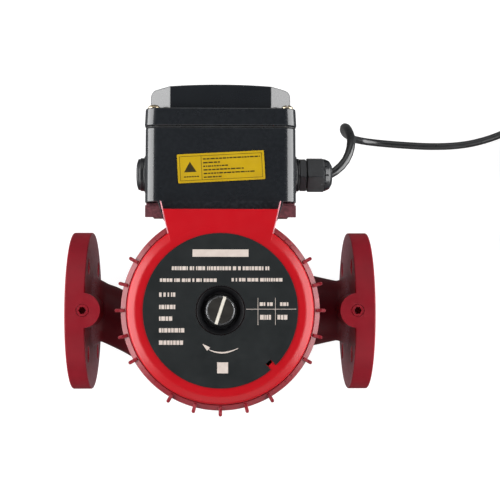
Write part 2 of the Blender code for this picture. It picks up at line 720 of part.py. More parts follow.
def build_box():
    """Terminal box base, gasket and lid with their screws."""
    base = tapered_box("terminal_box_base", BOX_BOTTOM_Y, BOX_TOP_Y,
                       (BOX_HALF_X_BOTTOM, BOX_HALF_X_TOP), (BOX_HALF_Z, BOX_HALF_Z), BOX_CORNER_R)
    skirt = prism("front_skirt", [[(-44.0, 77), (-39.6, 63.5), (-37.2, 55.5), (37.2, 55.5), (39.6, 63.5),
                                   (44.0, 77)]], BOX_Z + BOX_HALF_Z - 3, BOX_Z + BOX_HALF_Z)
    cut(skirt, rod("skirt_clearance", 65.5, (0, 0, 230), (0, 0, 260), 48))
    bosses = [rod("entry_boss", 13.5, (side * 49, GLAND_Y, GLAND_Z),
                  (side * BOSS_FACE_X, GLAND_Y, GLAND_Z), 20) for side in (-1, 1)]
    cavity = tapered_box("box_cavity", BOX_BOTTOM_Y + 3.2, BOX_TOP_Y + 4,
                         (BOX_HALF_X_BOTTOM - BOX_WALL, BOX_HALF_X_TOP - BOX_WALL - 0.1),
                         (BOX_HALF_Z - BOX_WALL, BOX_HALF_Z - BOX_WALL), BOX_CORNER_R - BOX_WALL)
    corners = [(x, BOX_Z + dz) for x in (-LID_SCREW_X, LID_SCREW_X)
               for dz in (LID_SCREW_DZ, -LID_SCREW_DZ)]
    posts = [rod("post", 4.2, (x, 77, z), (x, BOX_TOP_Y, z), 12) for x, z in corners]
    post_holes = [rod("post_hole", 2.1, (x, 112, z), (x, 130, z), 8) for x, z in corners]
    floor_holes = [rod("floor_hole", 2.6, (x, 70, z), (x, 82, z), 8) for x, z in FLOOR_SCREWS]
    wire_hole = rod("floor_wire_hole", WIRE_HOLE_R, (0, 70, WIRE_HOLE_Z), (0, 82, WIRE_HOLE_Z), 16)
    entries = [rod("entry", GLAND_HOLE_R, (side * 40, GLAND_Y, GLAND_Z),
                   (side * 60, GLAND_Y, GLAND_Z), 24) for side in (-1, 1)]
    join(base, skirt, *bosses)
    cut(base, cavity)
    join(base, *posts)
    cut(base, wire_hole, *post_holes, *floor_holes, *entries)
    finish(base, box_black())

    gasket = tapered_box("box_gasket", BOX_TOP_Y + GAP, LID_Y - GAP, (51.8, 51.8), (49.4, 49.4), 8.6)
    opening = tapered_box("gasket_opening", BOX_TOP_Y - 2, LID_Y + 2, (49.9, 49.9), (47.5, 47.5), 6.7)
    finish(cut(gasket, opening), material("seal_rubber", srgb(30, 30, 30), 0.7))

    lid = tapered_box("terminal_box_lid", LID_Y, LID_PLATE_TOP_Y, (52.8, 52.2), (50.4, 49.8), BOX_CORNER_R)
    join(lid, dome_solid("dome", 0.0, 134))
    holes = [rod("lid_hole", 2.1, (x, 120, z), (x, 150, z), 8) for x, z in corners]
    cut(lid, dome_solid("dome_hollow", DOME_WALL, 120), *holes)
    finish(lid, box_black())

    for number, (x, z) in enumerate(corners, 1):
        head = turned(f"lid_screw_{number}", [
            (0, 0), (4, 0), (4, 1.3), (2.8, 2.5), (0, 2.5)], 12,
            (x, LID_PLATE_TOP_Y + 0.2, z), ALONG_PLUS_Y)
        join(head, rod("shank", 1.6, (x, 115, z), (x, LID_PLATE_TOP_Y + 1, z), 8))
        slot = block("slot", (-5, 1.4, -0.5), (5, 6, 0.5), (0, 30 * number, 0), (x, LID_PLATE_TOP_Y, z))
        finish(cut(head, slot), brass())


def build_box_contents():
    """Terminal block, capacitor, fixing screws and leads inside the terminal box."""
    terminal_block = block("terminal_block", (-23, 78.3, 215), (23, 92, 233))
    wells = [rod("well", 2.6, (x, 86, 224), (x, 96, 224), 8) for x in (-16, -8, 0, 8, 16)]
    finish(cut(terminal_block, *wells), material("terminal_white", srgb(222, 220, 212), 0.4))
    capacitor = turned("capacitor", [
        (0, -31), (CAPACITOR_R - 1, -31), (CAPACITOR_R, -30), (CAPACITOR_R, 30),
        (CAPACITOR_R - 1, 31), (0, 31)], 24, CAPACITOR_AT, ALONG_PLUS_X)
    finish(capacitor, material("capacitor_case", srgb(208, 208, 204), 0.4))
    clip_at = (0, *CAPACITOR_AT[1:])
    finish(ring("capacitor_clip", CAPACITOR_R + 0.4, CAPACITOR_R + 1.6, -6, 6, 24, clip_at,
                ALONG_PLUS_X), steel())
    for name, (x, z) in zip(("box_screw_1", "box_screw_2", "earth_screw"), FLOOR_SCREWS):
        head = rod(name, 4, (x, 78.3, z), (x, 81.3, z), 16)
        join(head, rod("shank", 1.9, (x, 67.5, z), (x, 80, z), 8))
        slot = block("slot", (-6, 80.2, -0.5), (6, 84, 0.5), (0, 20, 0), (x, 0, z))
        finish(cut(head, slot), steel())
    lead_ends = (("live_lead", 8, 101.2, srgb(110, 68, 44)), ("neutral_lead", 0, 99.3, srgb(40, 84, 150)),
                 ("earth_lead", -8, 97.4, srgb(110, 140, 50)))
    for name, x, y, colour in lead_ends:
        start = (35.0, y, GLAND_Z + (y - GLAND_Y) * 0.3)
        route = smooth_route([start, (28.0, y, 196.0), (x + 9, y - 3, 203.0), (x + 1, 90.0, 209.0),
                              (x, 86.0, 214.4)], 5.0)
        finish(tube(name, route, 0.85, 1), material(name, colour, 0.5))


def build_cable_entries():
    """Cable gland on the right, blanking plug on the left."""
    axis = (0, GLAND_Y, GLAND_Z)

    def hexagonal(name, radius, low, high):
        shape = rod(name, radius, (low, GLAND_Y, GLAND_Z), (high, GLAND_Y, GLAND_Z), 6)
        spin = Matrix.Translation(Vector(axis) * MM) @ Matrix.Rotation(math.radians(GLAND_TILT_DEG), 4, 'X')
        shape.data.transform(spin @ Matrix.Translation(-Vector(axis) * MM))
        return shape

    finish(ring("gland_washer", 8.5, 12, 55.8, 57.3, 24, axis, ALONG_PLUS_X),
           material("seal_rubber", srgb(30, 30, 30), 0.7))
    body = hexagonal("gland_body", GLAND_HEX_R, 57.6, 62.6)
    join(body, rod("thread", 7.9, (THREAD_END_X, GLAND_Y, GLAND_Z), (60, GLAND_Y, GLAND_Z), 24),
         rod("spigot", 9.3, (60, GLAND_Y, GLAND_Z), (74, GLAND_Y, GLAND_Z), 24))
    cut(body, rod("gland_bore", 4.3, (30, GLAND_Y, GLAND_Z), (80, GLAND_Y, GLAND_Z), 20))
    finish(body, box_black())
    nut = hexagonal("gland_nut", GLAND_NUT_R, 63.0, 75.2)
    join(nut, turned("nut_dome", [(0, 70), (11.8, 70), (11.8, 76.2), (10.2, 79.4), (7, 81.4),
                                  (0, 81.4)], 20, axis, ALONG_PLUS_X))
    cut(nut, turned("nut_bore", [(0, 60), (9.6, 60), (9.6, 74.3), (7.2, 74.3), (7.2, 79.2), (5.6, 79.2),
                                 (5.6, 85), (0, 85)], 20, axis, ALONG_PLUS_X))
    finish(nut, box_black())
    finish(ring("gland_grommet", 3.5, 6.9, 74.6, 78.9, 20, axis, ALONG_PLUS_X),
           material("seal_rubber", srgb(30, 30, 30), 0.7))
    for name, side in (("gland_locknut", 1), ("blanking_plug_nut", -1)):
        nut = rod(name, 13, (side * 43, GLAND_Y, GLAND_Z), (side * 48.6, GLAND_Y, GLAND_Z), 6)
        cut(nut, rod("nut_hole", 8.3, (side * 38, GLAND_Y, GLAND_Z), (side * 52, GLAND_Y, GLAND_Z), 24))
        finish(nut, box_black())
    plug = turned("blanking_plug", [
        (0, THREAD_END_X), (7.4, THREAD_END_X), (8, THREAD_END_X + 0.6), (8, 55.8), (12.1, 55.8),
        (12.1, 59.4), (11.5, 60.2), (8, 61),
        (0, 61.3)], 24, axis, ALONG_MINUS_X)
    finish(plug, box_black())


def build_label():
    """Plain yellow plate on the front of the terminal box."""
    z = BOX_Z + BOX_HALF_Z
    finish(block("warning_label", (-30, -10, z + GAP), (30, 10, z + 2 * GAP), (0, 0, 3.1), (0.3, 98.7, 0)),
           material("label_yellow", srgb(206, 172, 26), 0.4))


# ---------------------------------------------------------------------- cord


def build_cord():
    """Mains cord: inner end, free run, coil, tail, tie and plug."""
    finish(rod("cord_inner_end", CORD_R, (36, GLAND_Y, GLAND_Z), (77.3, GLAND_Y, GLAND_Z), 12),
           soft_black())
    finish(tube("supply_cord", smooth_route(CORD_ROUTE, 8.5), CORD_R), soft_black())
    finish(tube("cord_tail", smooth_route(TAIL_ROUTE, 7.5), CORD_R), soft_black())
    low, high, chamfer = COIL_LOW_Z, COIL_HIGH_Z, COIL_CHAMFER
    coil = turned("cord_coil", [
        (COIL_INNER_R, low + chamfer), (COIL_INNER_R + chamfer, low), (COIL_OUTER_R - chamfer, low),
        (COIL_OUTER_R, low + chamfer), (COIL_OUTER_R, high - chamfer),
        (COIL_OUTER_R - chamfer, high), (COIL_INNER_R + chamfer, high),
        (COIL_INNER_R, high - chamfer)], 24, (*COIL_CENTRE, 0))
    finish(coil, soft_black())

    tie_at = (*COIL_CENTRE, 0)
    tie = block("coil_tie", (COIL_INNER_R - 1.2, -2.5, 0), (COIL_OUTER_R + 1.2, 2.5, high + 1),
                (0, 0, TIE_DEG), tie_at)
    inside = block("tie_inside", (COIL_INNER_R - 0.4, -4, low - GAP),
                   (COIL_OUTER_R + 0.4, 4, high + GAP), (0, 0, TIE_DEG), tie_at)
    finish(cut(tie, inside), material("tie_black", srgb(34, 34, 36), 0.5))

    plug = turned("mains_plug", [
        (0, 0), (PLUG_R - 1, 0), (PLUG_R, -1), (PLUG_R, -20), (15.5, -23), (11, -26), (9, -29),
        (5.2, -33), (4.6, -40.1), (0, -40.1)], 20, PLUG_FACE, ALONG_MINUS_X)
    face_x, axis_y, axis_z = PLUG_FACE
    pins = []
    for number, side in ((1, -1), (2, 1)):
        y = axis_y + side * PIN_OFFSET_Y
        cut(plug, rod("pin_socket", PIN_R + GAP, (face_x - 2, y, axis_z), (face_x + 6, y, axis_z), 10))
        pins.append(rod(f"plug_pin_{number}", PIN_R, (face_x - PIN_LENGTH, y, axis_z),
                        (face_x + 5.6, y, axis_z), 10))
    finish(plug, soft_black())
    for pin in pins:
        finish(pin, steel())


def build_pump():
    """Build every part in turn."""
    clear_scene()
    build_casing()
    build_rotor()
    build_bearings_and_can()
    build_housing()
    build_front()
    build_box()
    build_box_contents()
    build_cable_entries()
    build_label()
    build_cord()


build_pump()
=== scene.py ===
"""Looks of the circulator pump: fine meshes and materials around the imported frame."""
import math
import random

import bmesh
import bpy
from mathutils import Matrix, Vector


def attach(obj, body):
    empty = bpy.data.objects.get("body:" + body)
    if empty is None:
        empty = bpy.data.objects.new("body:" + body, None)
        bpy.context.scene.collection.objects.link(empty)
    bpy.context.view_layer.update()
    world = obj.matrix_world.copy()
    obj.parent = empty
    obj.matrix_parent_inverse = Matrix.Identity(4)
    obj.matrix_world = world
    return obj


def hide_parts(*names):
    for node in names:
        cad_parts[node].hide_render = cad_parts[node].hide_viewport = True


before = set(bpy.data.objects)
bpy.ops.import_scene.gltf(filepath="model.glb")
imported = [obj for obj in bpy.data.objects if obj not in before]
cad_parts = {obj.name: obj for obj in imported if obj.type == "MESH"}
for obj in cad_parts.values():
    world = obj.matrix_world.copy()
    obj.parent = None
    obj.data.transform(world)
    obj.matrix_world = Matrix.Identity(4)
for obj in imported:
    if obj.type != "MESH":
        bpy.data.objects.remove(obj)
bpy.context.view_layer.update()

MM = 0.001
WELD = 0.000004

# Main places and sizes, in millimetres and degrees, most of them as in the CAD
PIPE_Z = 68.0
FLANGE_R, BOLT_CIRCLE_R, BOLT_HOLE_R = 65.0, 50.0, 7.0
BOSS_X, BOSS_R = 107.8, 13.7
MOTOR_SCREW_R = 69.5  # radius of the circle that the motor screws stand on
GLAND = (0.0, 99.3, 194.0)
BOX_Z = 195.85
COVER_Z = 253.0
PRINT_Z, PRINT_HIGH = 253.58, 0.06
NOTCH_DEG, SLOT_DEG = -47, 72
LID_TOP_Y, LID_SCREW_X, LID_SCREW_DZ = 139.9, 46.3, 42.0
DOME_TOP_Y, DOME_ARCH_R, DOME_HALF_X, DOME_HALF_Z = 157.0, 480.0, 49.2, 45.0
CORD_R = 3.15
COIL_CENTRE, COIL_START_DEG, TIE_DEG = (295.0, 132.7), 124.9, 330.0
SCREW_ANGLES = (45, 135, 225, 315)
FIN_ANGLES = (0, 15, -15, 30, -30, 150, 165, 180, 195, 210, 240, 255, 270, 285, 300)
PLUS_X = (0, 90, 0)
MINUS_X = (0, -90, 0)
PLUS_Y = (-90, 0, 0)

# Studio
CAMERA_HEIGHT, CAMERA_LENS, CAMERA_SENSOR = 1.030, 82.44, 36.0
CAMERA_AIM = (0.02576, 0.05284, -1.0)
FLOOR_GLOW = 0.92
WORLD_SIDES, WORLD_ABOVE, WORLD_BELOW = 0.24, 0.05, 0.5

CORD_ROUTE = [
    (79.2, 99.3, 194.0), (84.0, 102.1, 193.9), (88.6, 106.0, 193.1), (92.5, 111.0, 191.6),
    (95.7, 118.0, 188.6), (96.9, 123.5, 185.3), (97.5, 128.9, 180.8), (96.8, 134.5, 174.1),
    (96.0, 138.9, 165.4), (95.4, 141.1, 154.7), (96.8, 141.7, 138.0), (99.4, 143.8, 117.0),
    (102.4, 145.8, 96.0), (105.6, 147.8, 76.0), (108.9, 149.7, 58.0), (112.2, 151.2, 41.0),
    (115.2, 152.1, 28.4), (118.4, 152.5, 19.4), (123.5, 152.5, 12.2), (130.6, 152.1, 7.0),
    (138.4, 151.6, 4.2), (147.0, 150.9, 3.2), (158.0, 150.0, 3.15), (172.0, 149.1, 3.15),
    (188.0, 148.4, 3.15), (208.0, 148.8, 3.15), (226.0, 151.0, 3.15), (243.0, 155.4, 3.2),
    (257.5, 160.9, 3.5), (271.2, 166.8, 3.95),
]
TAIL_ROUTE = [
    (336.7, 131.0, 9.6), (337.6, 118.0, 9.6), (338.0, 104.5, 9.8), (338.0, 91.0, 10.8),
    (335.9, 80.7, 12.6), (330.1, 71.9, 15.2), (321.3, 65.9, 17.9), (312.0, 64.0, 19.0),
]


# ------------ materials


def lin(red, green, blue):
    """8-bit sRGB colour as linear RGBA."""
    def one(value):
        value /= 255.0
        return value / 12.92 if value <= 0.04045 else ((value + 0.055) / 1.055) ** 2.4
    return (one(red), one(green), one(blue), 1.0)


def map_range(tree, value, *limits):
    item = tree.nodes.new("ShaderNodeMapRange")
    tree.links.new(value, item.inputs["Value"])
    for key, number in zip(("From Min", "From Max", "To Min", "To Max"), limits):
        item.inputs[key].default_value = number
    return item.outputs["Result"]


def multiplied(tree, first, second):
    item = tree.nodes.new("ShaderNodeMath")
    item.operation = 'MULTIPLY'
    tree.links.new(first, item.inputs[0])
    tree.links.new(second, item.inputs[1])
    return item.outputs[0]


class Surface:
    """A Principled material with procedural colour, roughness and bump."""

    def __init__(self, name, metallic=0.0, coat=0.0, coat_roughness=0.1, specular=0.5):
        self.made = bpy.data.materials.new(name)
        self.made.use_nodes = True
        self.tree = self.made.node_tree
        self.shader = self.tree.nodes["Principled BSDF"]
        self.shader.inputs["Metallic"].default_value = metallic
        self.shader.inputs["Coat Weight"].default_value = coat
        self.shader.inputs["Coat Roughness"].default_value = coat_roughness
        self.shader.inputs["Specular IOR Level"].default_value = specular
        self.place = self.tree.nodes.new("ShaderNodeTexCoord").outputs["Object"]
        self.normal = None
        self.colour = None

    def node(self, kind, **inputs):
        item = self.tree.nodes.new(kind)
        for key, value in inputs.items():
            target = item.inputs[key.replace("_", " ")]
            if isinstance(value, bpy.types.NodeSocket):
                self.tree.links.new(value, target)
            else:
                target.default_value = value
        return item

    def noise(self, scale, detail=3.0, roughness=0.55, stretch=None):
        place = self.place
        if stretch:
            place = self.node("ShaderNodeMapping", Vector=place, Scale=stretch).outputs["Vector"]
        return self.node("ShaderNodeTexNoise", Vector=place, Scale=scale, Detail=detail,
                         Roughness=roughness).outputs["Fac"]

    def ranged(self, value, low, high, out_low=0.0, out_high=1.0):
        return map_range(self.tree, value, low, high, out_low, out_high)

    def mix(self, factor, first, second):
        item = self.tree.nodes.new("ShaderNodeMix")
        item.data_type = 'RGBA'
        self.tree.links.new(factor, item.inputs[0])
        for socket, value in ((item.inputs[6], first), (item.inputs[7], second)):
            if isinstance(value, bpy.types.NodeSocket):
                self.tree.links.new(value, socket)
            else:
                socket.default_value = value
        return item.outputs[2]

    def paint(self, first, second, scale, low=0.35, high=0.65, **more):
        """Base colour that wanders between two colours."""
        share = self.ranged(self.noise(scale, **more), low, high)
        self.colour = self.mix(share, lin(*first), lin(*second))
        return self

    def layer(self, factor, colour):
        self.colour = self.mix(factor, self.colour, lin(*colour))
        return self

    def edge_wear_and_highlight(self, colour, amount=0.6, start=0.52, end=0.58):
        """Edges that stand out, broken up by a noise, take another colour: partly wear, partly a painted
        highlight.
        """
        point = self.tree.nodes.new("ShaderNodeNewGeometry").outputs["Pointiness"]
        edge = self.ranged(point, start, end)
        broken = self.ranged(self.noise(420.0, 4.0), 0.42, 0.62, 0.0, amount)
        return self.layer(self.times(edge, broken), colour)

    def painted_back_sheen_and_neck_shade(self):
        """Painted light: a grainy grey-pink painted reflection on the backs of the flanges and on the
        fillets beside them, and painted shade that darkens the pipe necks. Limits in metres.
        """
        split = self.node("ShaderNodeSeparateXYZ", Vector=self.place)
        away = self.node("ShaderNodeMath", Value=split.outputs["X"])
        away.operation = 'ABSOLUTE'
        out = away.outputs[0]
        below_boss = self.ranged(split.outputs["Z"], 0.1285, 0.1305, 1.0, 0.0)
        back = self.times(self.ranged(out, 0.099, 0.104), self.ranged(out, 0.1062, 0.1066, 1.0, 0.0))
        grain = self.ranged(self.noise(900.0, 4.0, 0.7), 0.4, 0.62, 0.25, 0.8)
        neck = self.times(self.ranged(out, 0.070, 0.076), self.ranged(out, 0.096, 0.103, 0.6, 0.0))
        # painted shade: the pipe necks between flanges and motor are darkened
        self.layer(self.times(neck, below_boss), (70, 18, 26))
        # painted reflection: a grey-pink sheen on the flange backs, broken up by a grain
        return self.layer(self.times(self.times(back, below_boss), grain), (168, 140, 148))

    def times(self, first, second):
        return multiplied(self.tree, first, second)

    def rough(self, low, high, scale, **more):
        value = self.ranged(self.noise(scale, **more), 0.3, 0.7, low, high)
        self.tree.links.new(value, self.shader.inputs["Roughness"])
        return self

    def bump(self, scale, strength, distance, **more):
        item = self.node("ShaderNodeBump", Height=self.noise(scale, **more), Strength=strength,
                         Distance=distance)
        if self.normal:
            self.tree.links.new(self.normal, item.inputs["Normal"])
        self.normal = item.outputs["Normal"]
        return self

    def done(self):
        self.tree.links.new(self.colour, self.shader.inputs["Base Color"])
        if self.normal:
            self.tree.links.new(self.normal, self.shader.inputs["Normal"])
        self.made.diffuse_color = (0.5, 0.5, 0.5, 1.0)
        return self.made


def make_materials():
    """Every material of the pump."""
    made = {}
    # The cast red carries painted light: a grey-pink painted reflection on the flange backs and painted
    # shade on the pipe necks.
    made["cast"] = (Surface("cast_red_enamel", specular=0.3)
        .paint((150, 22, 38), (138, 20, 35), 38)
        .edge_wear_and_highlight((158, 48, 58), 0.3)
        .painted_back_sheen_and_neck_shade()
        .rough(0.38, 0.5, 160)
        .bump(1400, 0.16, 0.0002, detail=3)
        .bump(260, 0.2, 0.0004, detail=2).done())
    # The housing's pink lighter edges are partly wear and partly a painted highlight on the rim and fins.
    made["housing"] = (Surface("housing_red_enamel", coat=0.35, coat_roughness=0.2)
        .paint((146, 26, 40), (132, 24, 36), 45)
        .edge_wear_and_highlight((196, 96, 104), 0.5)
        .rough(0.3, 0.46, 180)
        .bump(900, 0.15, 0.0003, detail=2).done())
    made["cover"] = (Surface("cover_red_enamel", coat=0.15, coat_roughness=0.2, specular=0.4)
        .paint((188, 9, 24), (182, 9, 23), 30)
        .rough(0.34, 0.42, 140)
        .bump(700, 0.06, 0.0002, detail=1).done())
    made["saddle"] = (Surface("saddle_maroon_enamel", coat=0.2, coat_roughness=0.3)
        .paint((110, 66, 73), (94, 54, 61), 60)
        .edge_wear_and_highlight((160, 90, 98), 0.5)
        .rough(0.36, 0.52, 160)
        .bump(900, 0.2, 0.0003, detail=2).done())
    made["box"] = (Surface("box_moulded_black", coat=0.9, coat_roughness=0.1, specular=0.5)
        .paint((26, 29, 33), (24, 27, 31), 55)
        .edge_wear_and_highlight((74, 78, 84), 0.3)
        .rough(0.26, 0.3, 60)
        .bump(2600, 0.03, 0.0001, detail=2).done())
    made["nylon"] = (Surface("fitting_black_nylon", coat=0.5, coat_roughness=0.15, specular=0.5)
        .paint((34, 36, 40), (26, 27, 30), 90)
        .edge_wear_and_highlight((84, 88, 94), 0.4)
        .rough(0.3, 0.46, 240)
        .bump(1800, 0.12, 0.0002, detail=2).done())
    made["sheath"] = (Surface("cord_black_sheath", coat=0.8, coat_roughness=0.12)
        .paint((30, 31, 34), (22, 23, 25), 70)
        .rough(0.26, 0.4, 300)
        .bump(1500, 0.1, 0.0002, detail=2).done())
    made["rubber"] = (Surface("seal_black_rubber")
        .paint((34, 35, 37), (24, 24, 26), 120)
        .rough(0.55, 0.75, 300)
        .bump(2000, 0.2, 0.0002, detail=2).done())
    made["plate"] = (Surface("nameplate_charcoal_print", specular=0.25)
        .paint((35, 38, 39), (30, 33, 34), 60)
        .rough(0.42, 0.56, 220)
        .bump(2400, 0.12, 0.0001, detail=2).done())
    made["print"] = (Surface("plate_light_print", specular=0.3)
        .paint((216, 203, 194), (206, 192, 183), 150)
        .rough(0.45, 0.6, 300).done())
    made["label"] = (Surface("label_yellow_film", coat=0.2, coat_roughness=0.25)
        .paint((194, 160, 11), (186, 151, 10), 60)
        .rough(0.34, 0.46, 200)
        .bump(600, 0.05, 0.0002, detail=1).done())
    made["ink"] = (Surface("label_dark_ink", specular=0.3)
        .paint((62, 52, 18), (46, 40, 16), 200)
        .rough(0.4, 0.6, 300).done())
    made["steel"] = (Surface("machined_steel", metallic=1)
        .paint((186, 188, 190), (160, 161, 164), 80, stretch=(1, 1, 6))
        .edge_wear_and_highlight((226, 226, 226), 0.5)
        .rough(0.2, 0.38, 500, stretch=(1, 6, 1))
        .bump(900, 0.08, 0.0001, detail=2, stretch=(1, 8, 1)).done())
    # Dark, weakly metallic colour for the chromed vent plug's face: a painted dark reflection.
    made["painted_dark_reflection_steel"] = (Surface("vent_painted_dark_reflection", metallic=0.3)
        .paint((60, 58, 55), (48, 46, 44), 60, stretch=(1, 3, 1))
        .rough(0.3, 0.44, 500, stretch=(1, 9, 1))
        .bump(700, 0.1, 0.0001, detail=2, stretch=(1, 9, 1)).done())
    made["screw"] = (Surface("screw_black_steel", metallic=0.6)
        .paint((78, 74, 74), (60, 58, 58), 90)
        .edge_wear_and_highlight((150, 146, 144), 0.5)
        .rough(0.36, 0.5, 400)
        .bump(1200, 0.08, 0.0001, detail=2).done())
    # Near-white, almost non-metal slot floor: a painted reflection of the light in the slot.
    made["bright"] = (Surface("slot_painted_reflection", metallic=0.1)
        .paint((250, 244, 232), (238, 230, 216), 200)
        .rough(0.3, 0.45, 400).done())
    made["brass"] = (Surface("screw_pale_brass", metallic=0.9)
        .paint((226, 212, 186), (196, 178, 146), 150)
        .edge_wear_and_highlight((250, 240, 220), 0.6)
        .rough(0.22, 0.36, 400)
        .bump(1200, 0.08, 0.0001, detail=2).done())
    made["lamination"] = (Surface("stator_laminations", metallic=0.8)
        .paint((112, 114, 118), (78, 80, 84), 30, stretch=(1, 1, 70))
        .rough(0.4, 0.6, 200)
        .bump(30, 0.5, 0.0003, detail=1, stretch=(1, 1, 70)).done())
    made["copper"] = (Surface("enamelled_copper", metallic=0.9)
        .paint((188, 104, 58), (150, 78, 42), 60, stretch=(1, 1, 14))
        .rough(0.25, 0.42, 300)
        .bump(60, 0.6, 0.0006, detail=1, stretch=(1, 1, 14)).done())
    made["ceramic"] = (Surface("bearing_ceramic", coat=0.3)
        .paint((222, 216, 204), (208, 202, 190), 120)
        .rough(0.3, 0.42, 300).done())
    made["carbon"] = (Surface("thrust_carbon")
        .paint((56, 56, 58), (44, 44, 46), 120)
        .rough(0.42, 0.56, 300).done())
    made["composite"] = (Surface("impeller_composite")
        .paint((78, 80, 84), (62, 64, 68), 90)
        .rough(0.4, 0.55, 300)
        .bump(1600, 0.15, 0.0002, detail=2).done())
    made["white"] = (Surface("terminal_white")
        .paint((226, 224, 216), (214, 211, 202), 120)
        .rough(0.34, 0.46, 300).done())
    for key, colour in (("brown", (112, 68, 44)), ("blue", (42, 86, 152)),
                        ("green", (112, 142, 52))):
        darker = tuple(value * 0.85 for value in colour)
        made[key] = (Surface("lead_" + key).paint(colour, darker, 200)
        .rough(0.35, 0.5, 300).done())
    # Light pink for the thin strips on the tongue's slanted edges: a painted highlight.
    made["lip"] = (Surface("tongue_edge_painted_highlight", coat=0.3)
        .paint((226, 150, 158), (210, 120, 130), 120)
        .rough(0.3, 0.45, 200).done())
    # Near black, darker than the rubber, for the collar round the vent plug: partly its black rubber,
    # partly painted shade of the recess.
    made["recess"] = (Surface("collar_black_and_painted_shade", specular=0.3)
        .paint((14, 14, 17), (9, 9, 12), 120)
        .rough(0.4, 0.55, 200).done())
    return made


MAT = make_materials()


# ------------ geometry


def add(name, mesh):
    item = bpy.data.objects.new(name, mesh)
    bpy.context.scene.collection.objects.link(item)
    return item


def placement(at, turn):
    angles = [math.radians(angle) for angle in turn]
    spin = Matrix.Rotation(angles[2], 4, 'Z') @ Matrix.Rotation(angles[1], 4, 'Y')
    return Matrix.Translation(Vector(at) * MM) @ spin @ Matrix.Rotation(angles[0], 4, 'X')


def solid(name, cage, at=(0, 0, 0), turn=(0, 0, 0)):
    """Object from a cage of faces. The cage is freed."""
    bmesh.ops.recalc_face_normals(cage, faces=cage.faces)
    mesh = bpy.data.meshes.new(name)
    cage.to_mesh(mesh)
    cage.free()
    mesh.transform(placement(at, turn))
    return add(name, mesh)


def rounded(points, steps=5):
    """Outline of (u, v, radius) corners with each corner rounded to its radius."""
    result, count = [], len(points)
    for index, corner in enumerate(points):
        here = Vector(corner[:2])
        radius = corner[2] if len(corner) > 2 else 0.0
        if radius <= 0:
            result.append(tuple(here))
            continue
        back = Vector(points[index - 1][:2]) - here
        ahead = Vector(points[(index + 1) % count][:2]) - here
        angle = back.angle(ahead)
        if angle > math.pi - 0.01:
            result.append(tuple(here))
            continue
        reach = min(radius / math.tan(angle / 2), 0.49 * back.length, 0.49 * ahead.length)
        radius = reach * math.tan(angle / 2)
        centre = here + (back.normalized() + ahead.normalized()).normalized() * (
            radius / math.sin(angle / 2))
        start = here + back.normalized() * reach - centre
        end = here + ahead.normalized() * reach - centre
        sweep = start.angle_signed(end)
        for step in range(steps + 1):
            turn = -sweep * step / steps
            cosine, sine = math.cos(turn), math.sin(turn)
            result.append((centre.x + start.x * cosine - start.y * sine,
                           centre.y + start.x * sine + start.y * cosine))
    return result


def turned(name, profile, steps=128, at=(0, 0, 0), turn=(0, 0, 0), corner_steps=5):
    """Solid of revolution about local Z. Profile: closed list of (radius, height, rounding)."""
    outline = rounded(profile, corner_steps)
    cage = bmesh.new()
    rings = []
    for radius, height in outline:
        if radius < 1e-6:
            rings.append([cage.verts.new((0, 0, height * MM))])
            continue
        rings.append([cage.verts.new((radius * MM * math.cos(2 * math.pi * step / steps),
                                      radius * MM * math.sin(2 * math.pi * step / steps),
                                      height * MM)) for step in range(steps)])
    for first, second in zip(rings, rings[1:] + rings[:1]):
        if len(first) == 1 and len(second) == 1:
            continue
        for step in range(steps):
            after = (step + 1) % steps
            corners = [first[step % len(first)], first[after % len(first)],
                       second[after % len(second)], second[step % len(second)]]
            unique = list(dict.fromkeys(corners))
            if len(unique) > 2:
                cage.faces.new(unique)
    bmesh.ops.remove_doubles(cage, verts=cage.verts, dist=0.0000005)
    return solid(name, cage, at, turn)


def rod(name, radius, start, end, sides=48, edge=0.0):
    """Cylinder between two points, with rounded end edges."""
    start, end = Vector(start), Vector(end)
    length = (end - start).length
    item = turned(name, [(0, 0), (radius, 0, edge), (radius, length, edge), (0, length)], sides,
                  corner_steps=3)
    spin = (end - start).to_track_quat('Z', 'Y').to_matrix().to_4x4()
    item.data.transform(Matrix.Translation(start * MM) @ spin)
    return item


def prism(name, outline, low, high, at=(0, 0, 0), turn=(0, 0, 0)):
    """Closed outline in local XY, between two heights."""
    cage = bmesh.new()
    bottom = [cage.verts.new((x * MM, y * MM, low * MM)) for x, y in outline]
    top = [cage.verts.new((x * MM, y * MM, high * MM)) for x, y in outline]
    cage.faces.new(bottom)
    cage.faces.new(list(reversed(top)))
    for index in range(len(outline)):
        after = (index + 1) % len(outline)
        cage.faces.new((bottom[index], bottom[after], top[after], top[index]))
    return solid(name, cage, at, turn)


def block(name, low, high, at=(0, 0, 0), turn=(0, 0, 0)):
    outline = [(low[0], low[1]), (high[0], low[1]), (high[0], high[1]), (low[0], high[1])]
    return prism(name, outline, low[2], high[2], at, turn)


def apply_modifiers(item):
    graph = bpy.context.evaluated_depsgraph_get()
    graph.update()
    mesh = bpy.data.meshes.new_from_object(item.evaluated_get(graph))
    item.modifiers.clear()
    item.data = mesh
    return item


def modified(item, kind, **settings):
    """Give the item one modifier with these settings, and apply it."""
    step = item.modifiers.new("step", kind)
    for key, value in settings.items():
        setattr(step, key, value)
    return apply_modifiers(item)


def merge(name, *items):
    """One object that holds the meshes of several."""
    cage = bmesh.new()
    for item in items:
        cage.from_mesh(item.data)
    mesh = bpy.data.meshes.new(name)
    cage.to_mesh(mesh)
    cage.free()
    for item in items:
        bpy.data.objects.remove(item)
    return add(name, mesh)


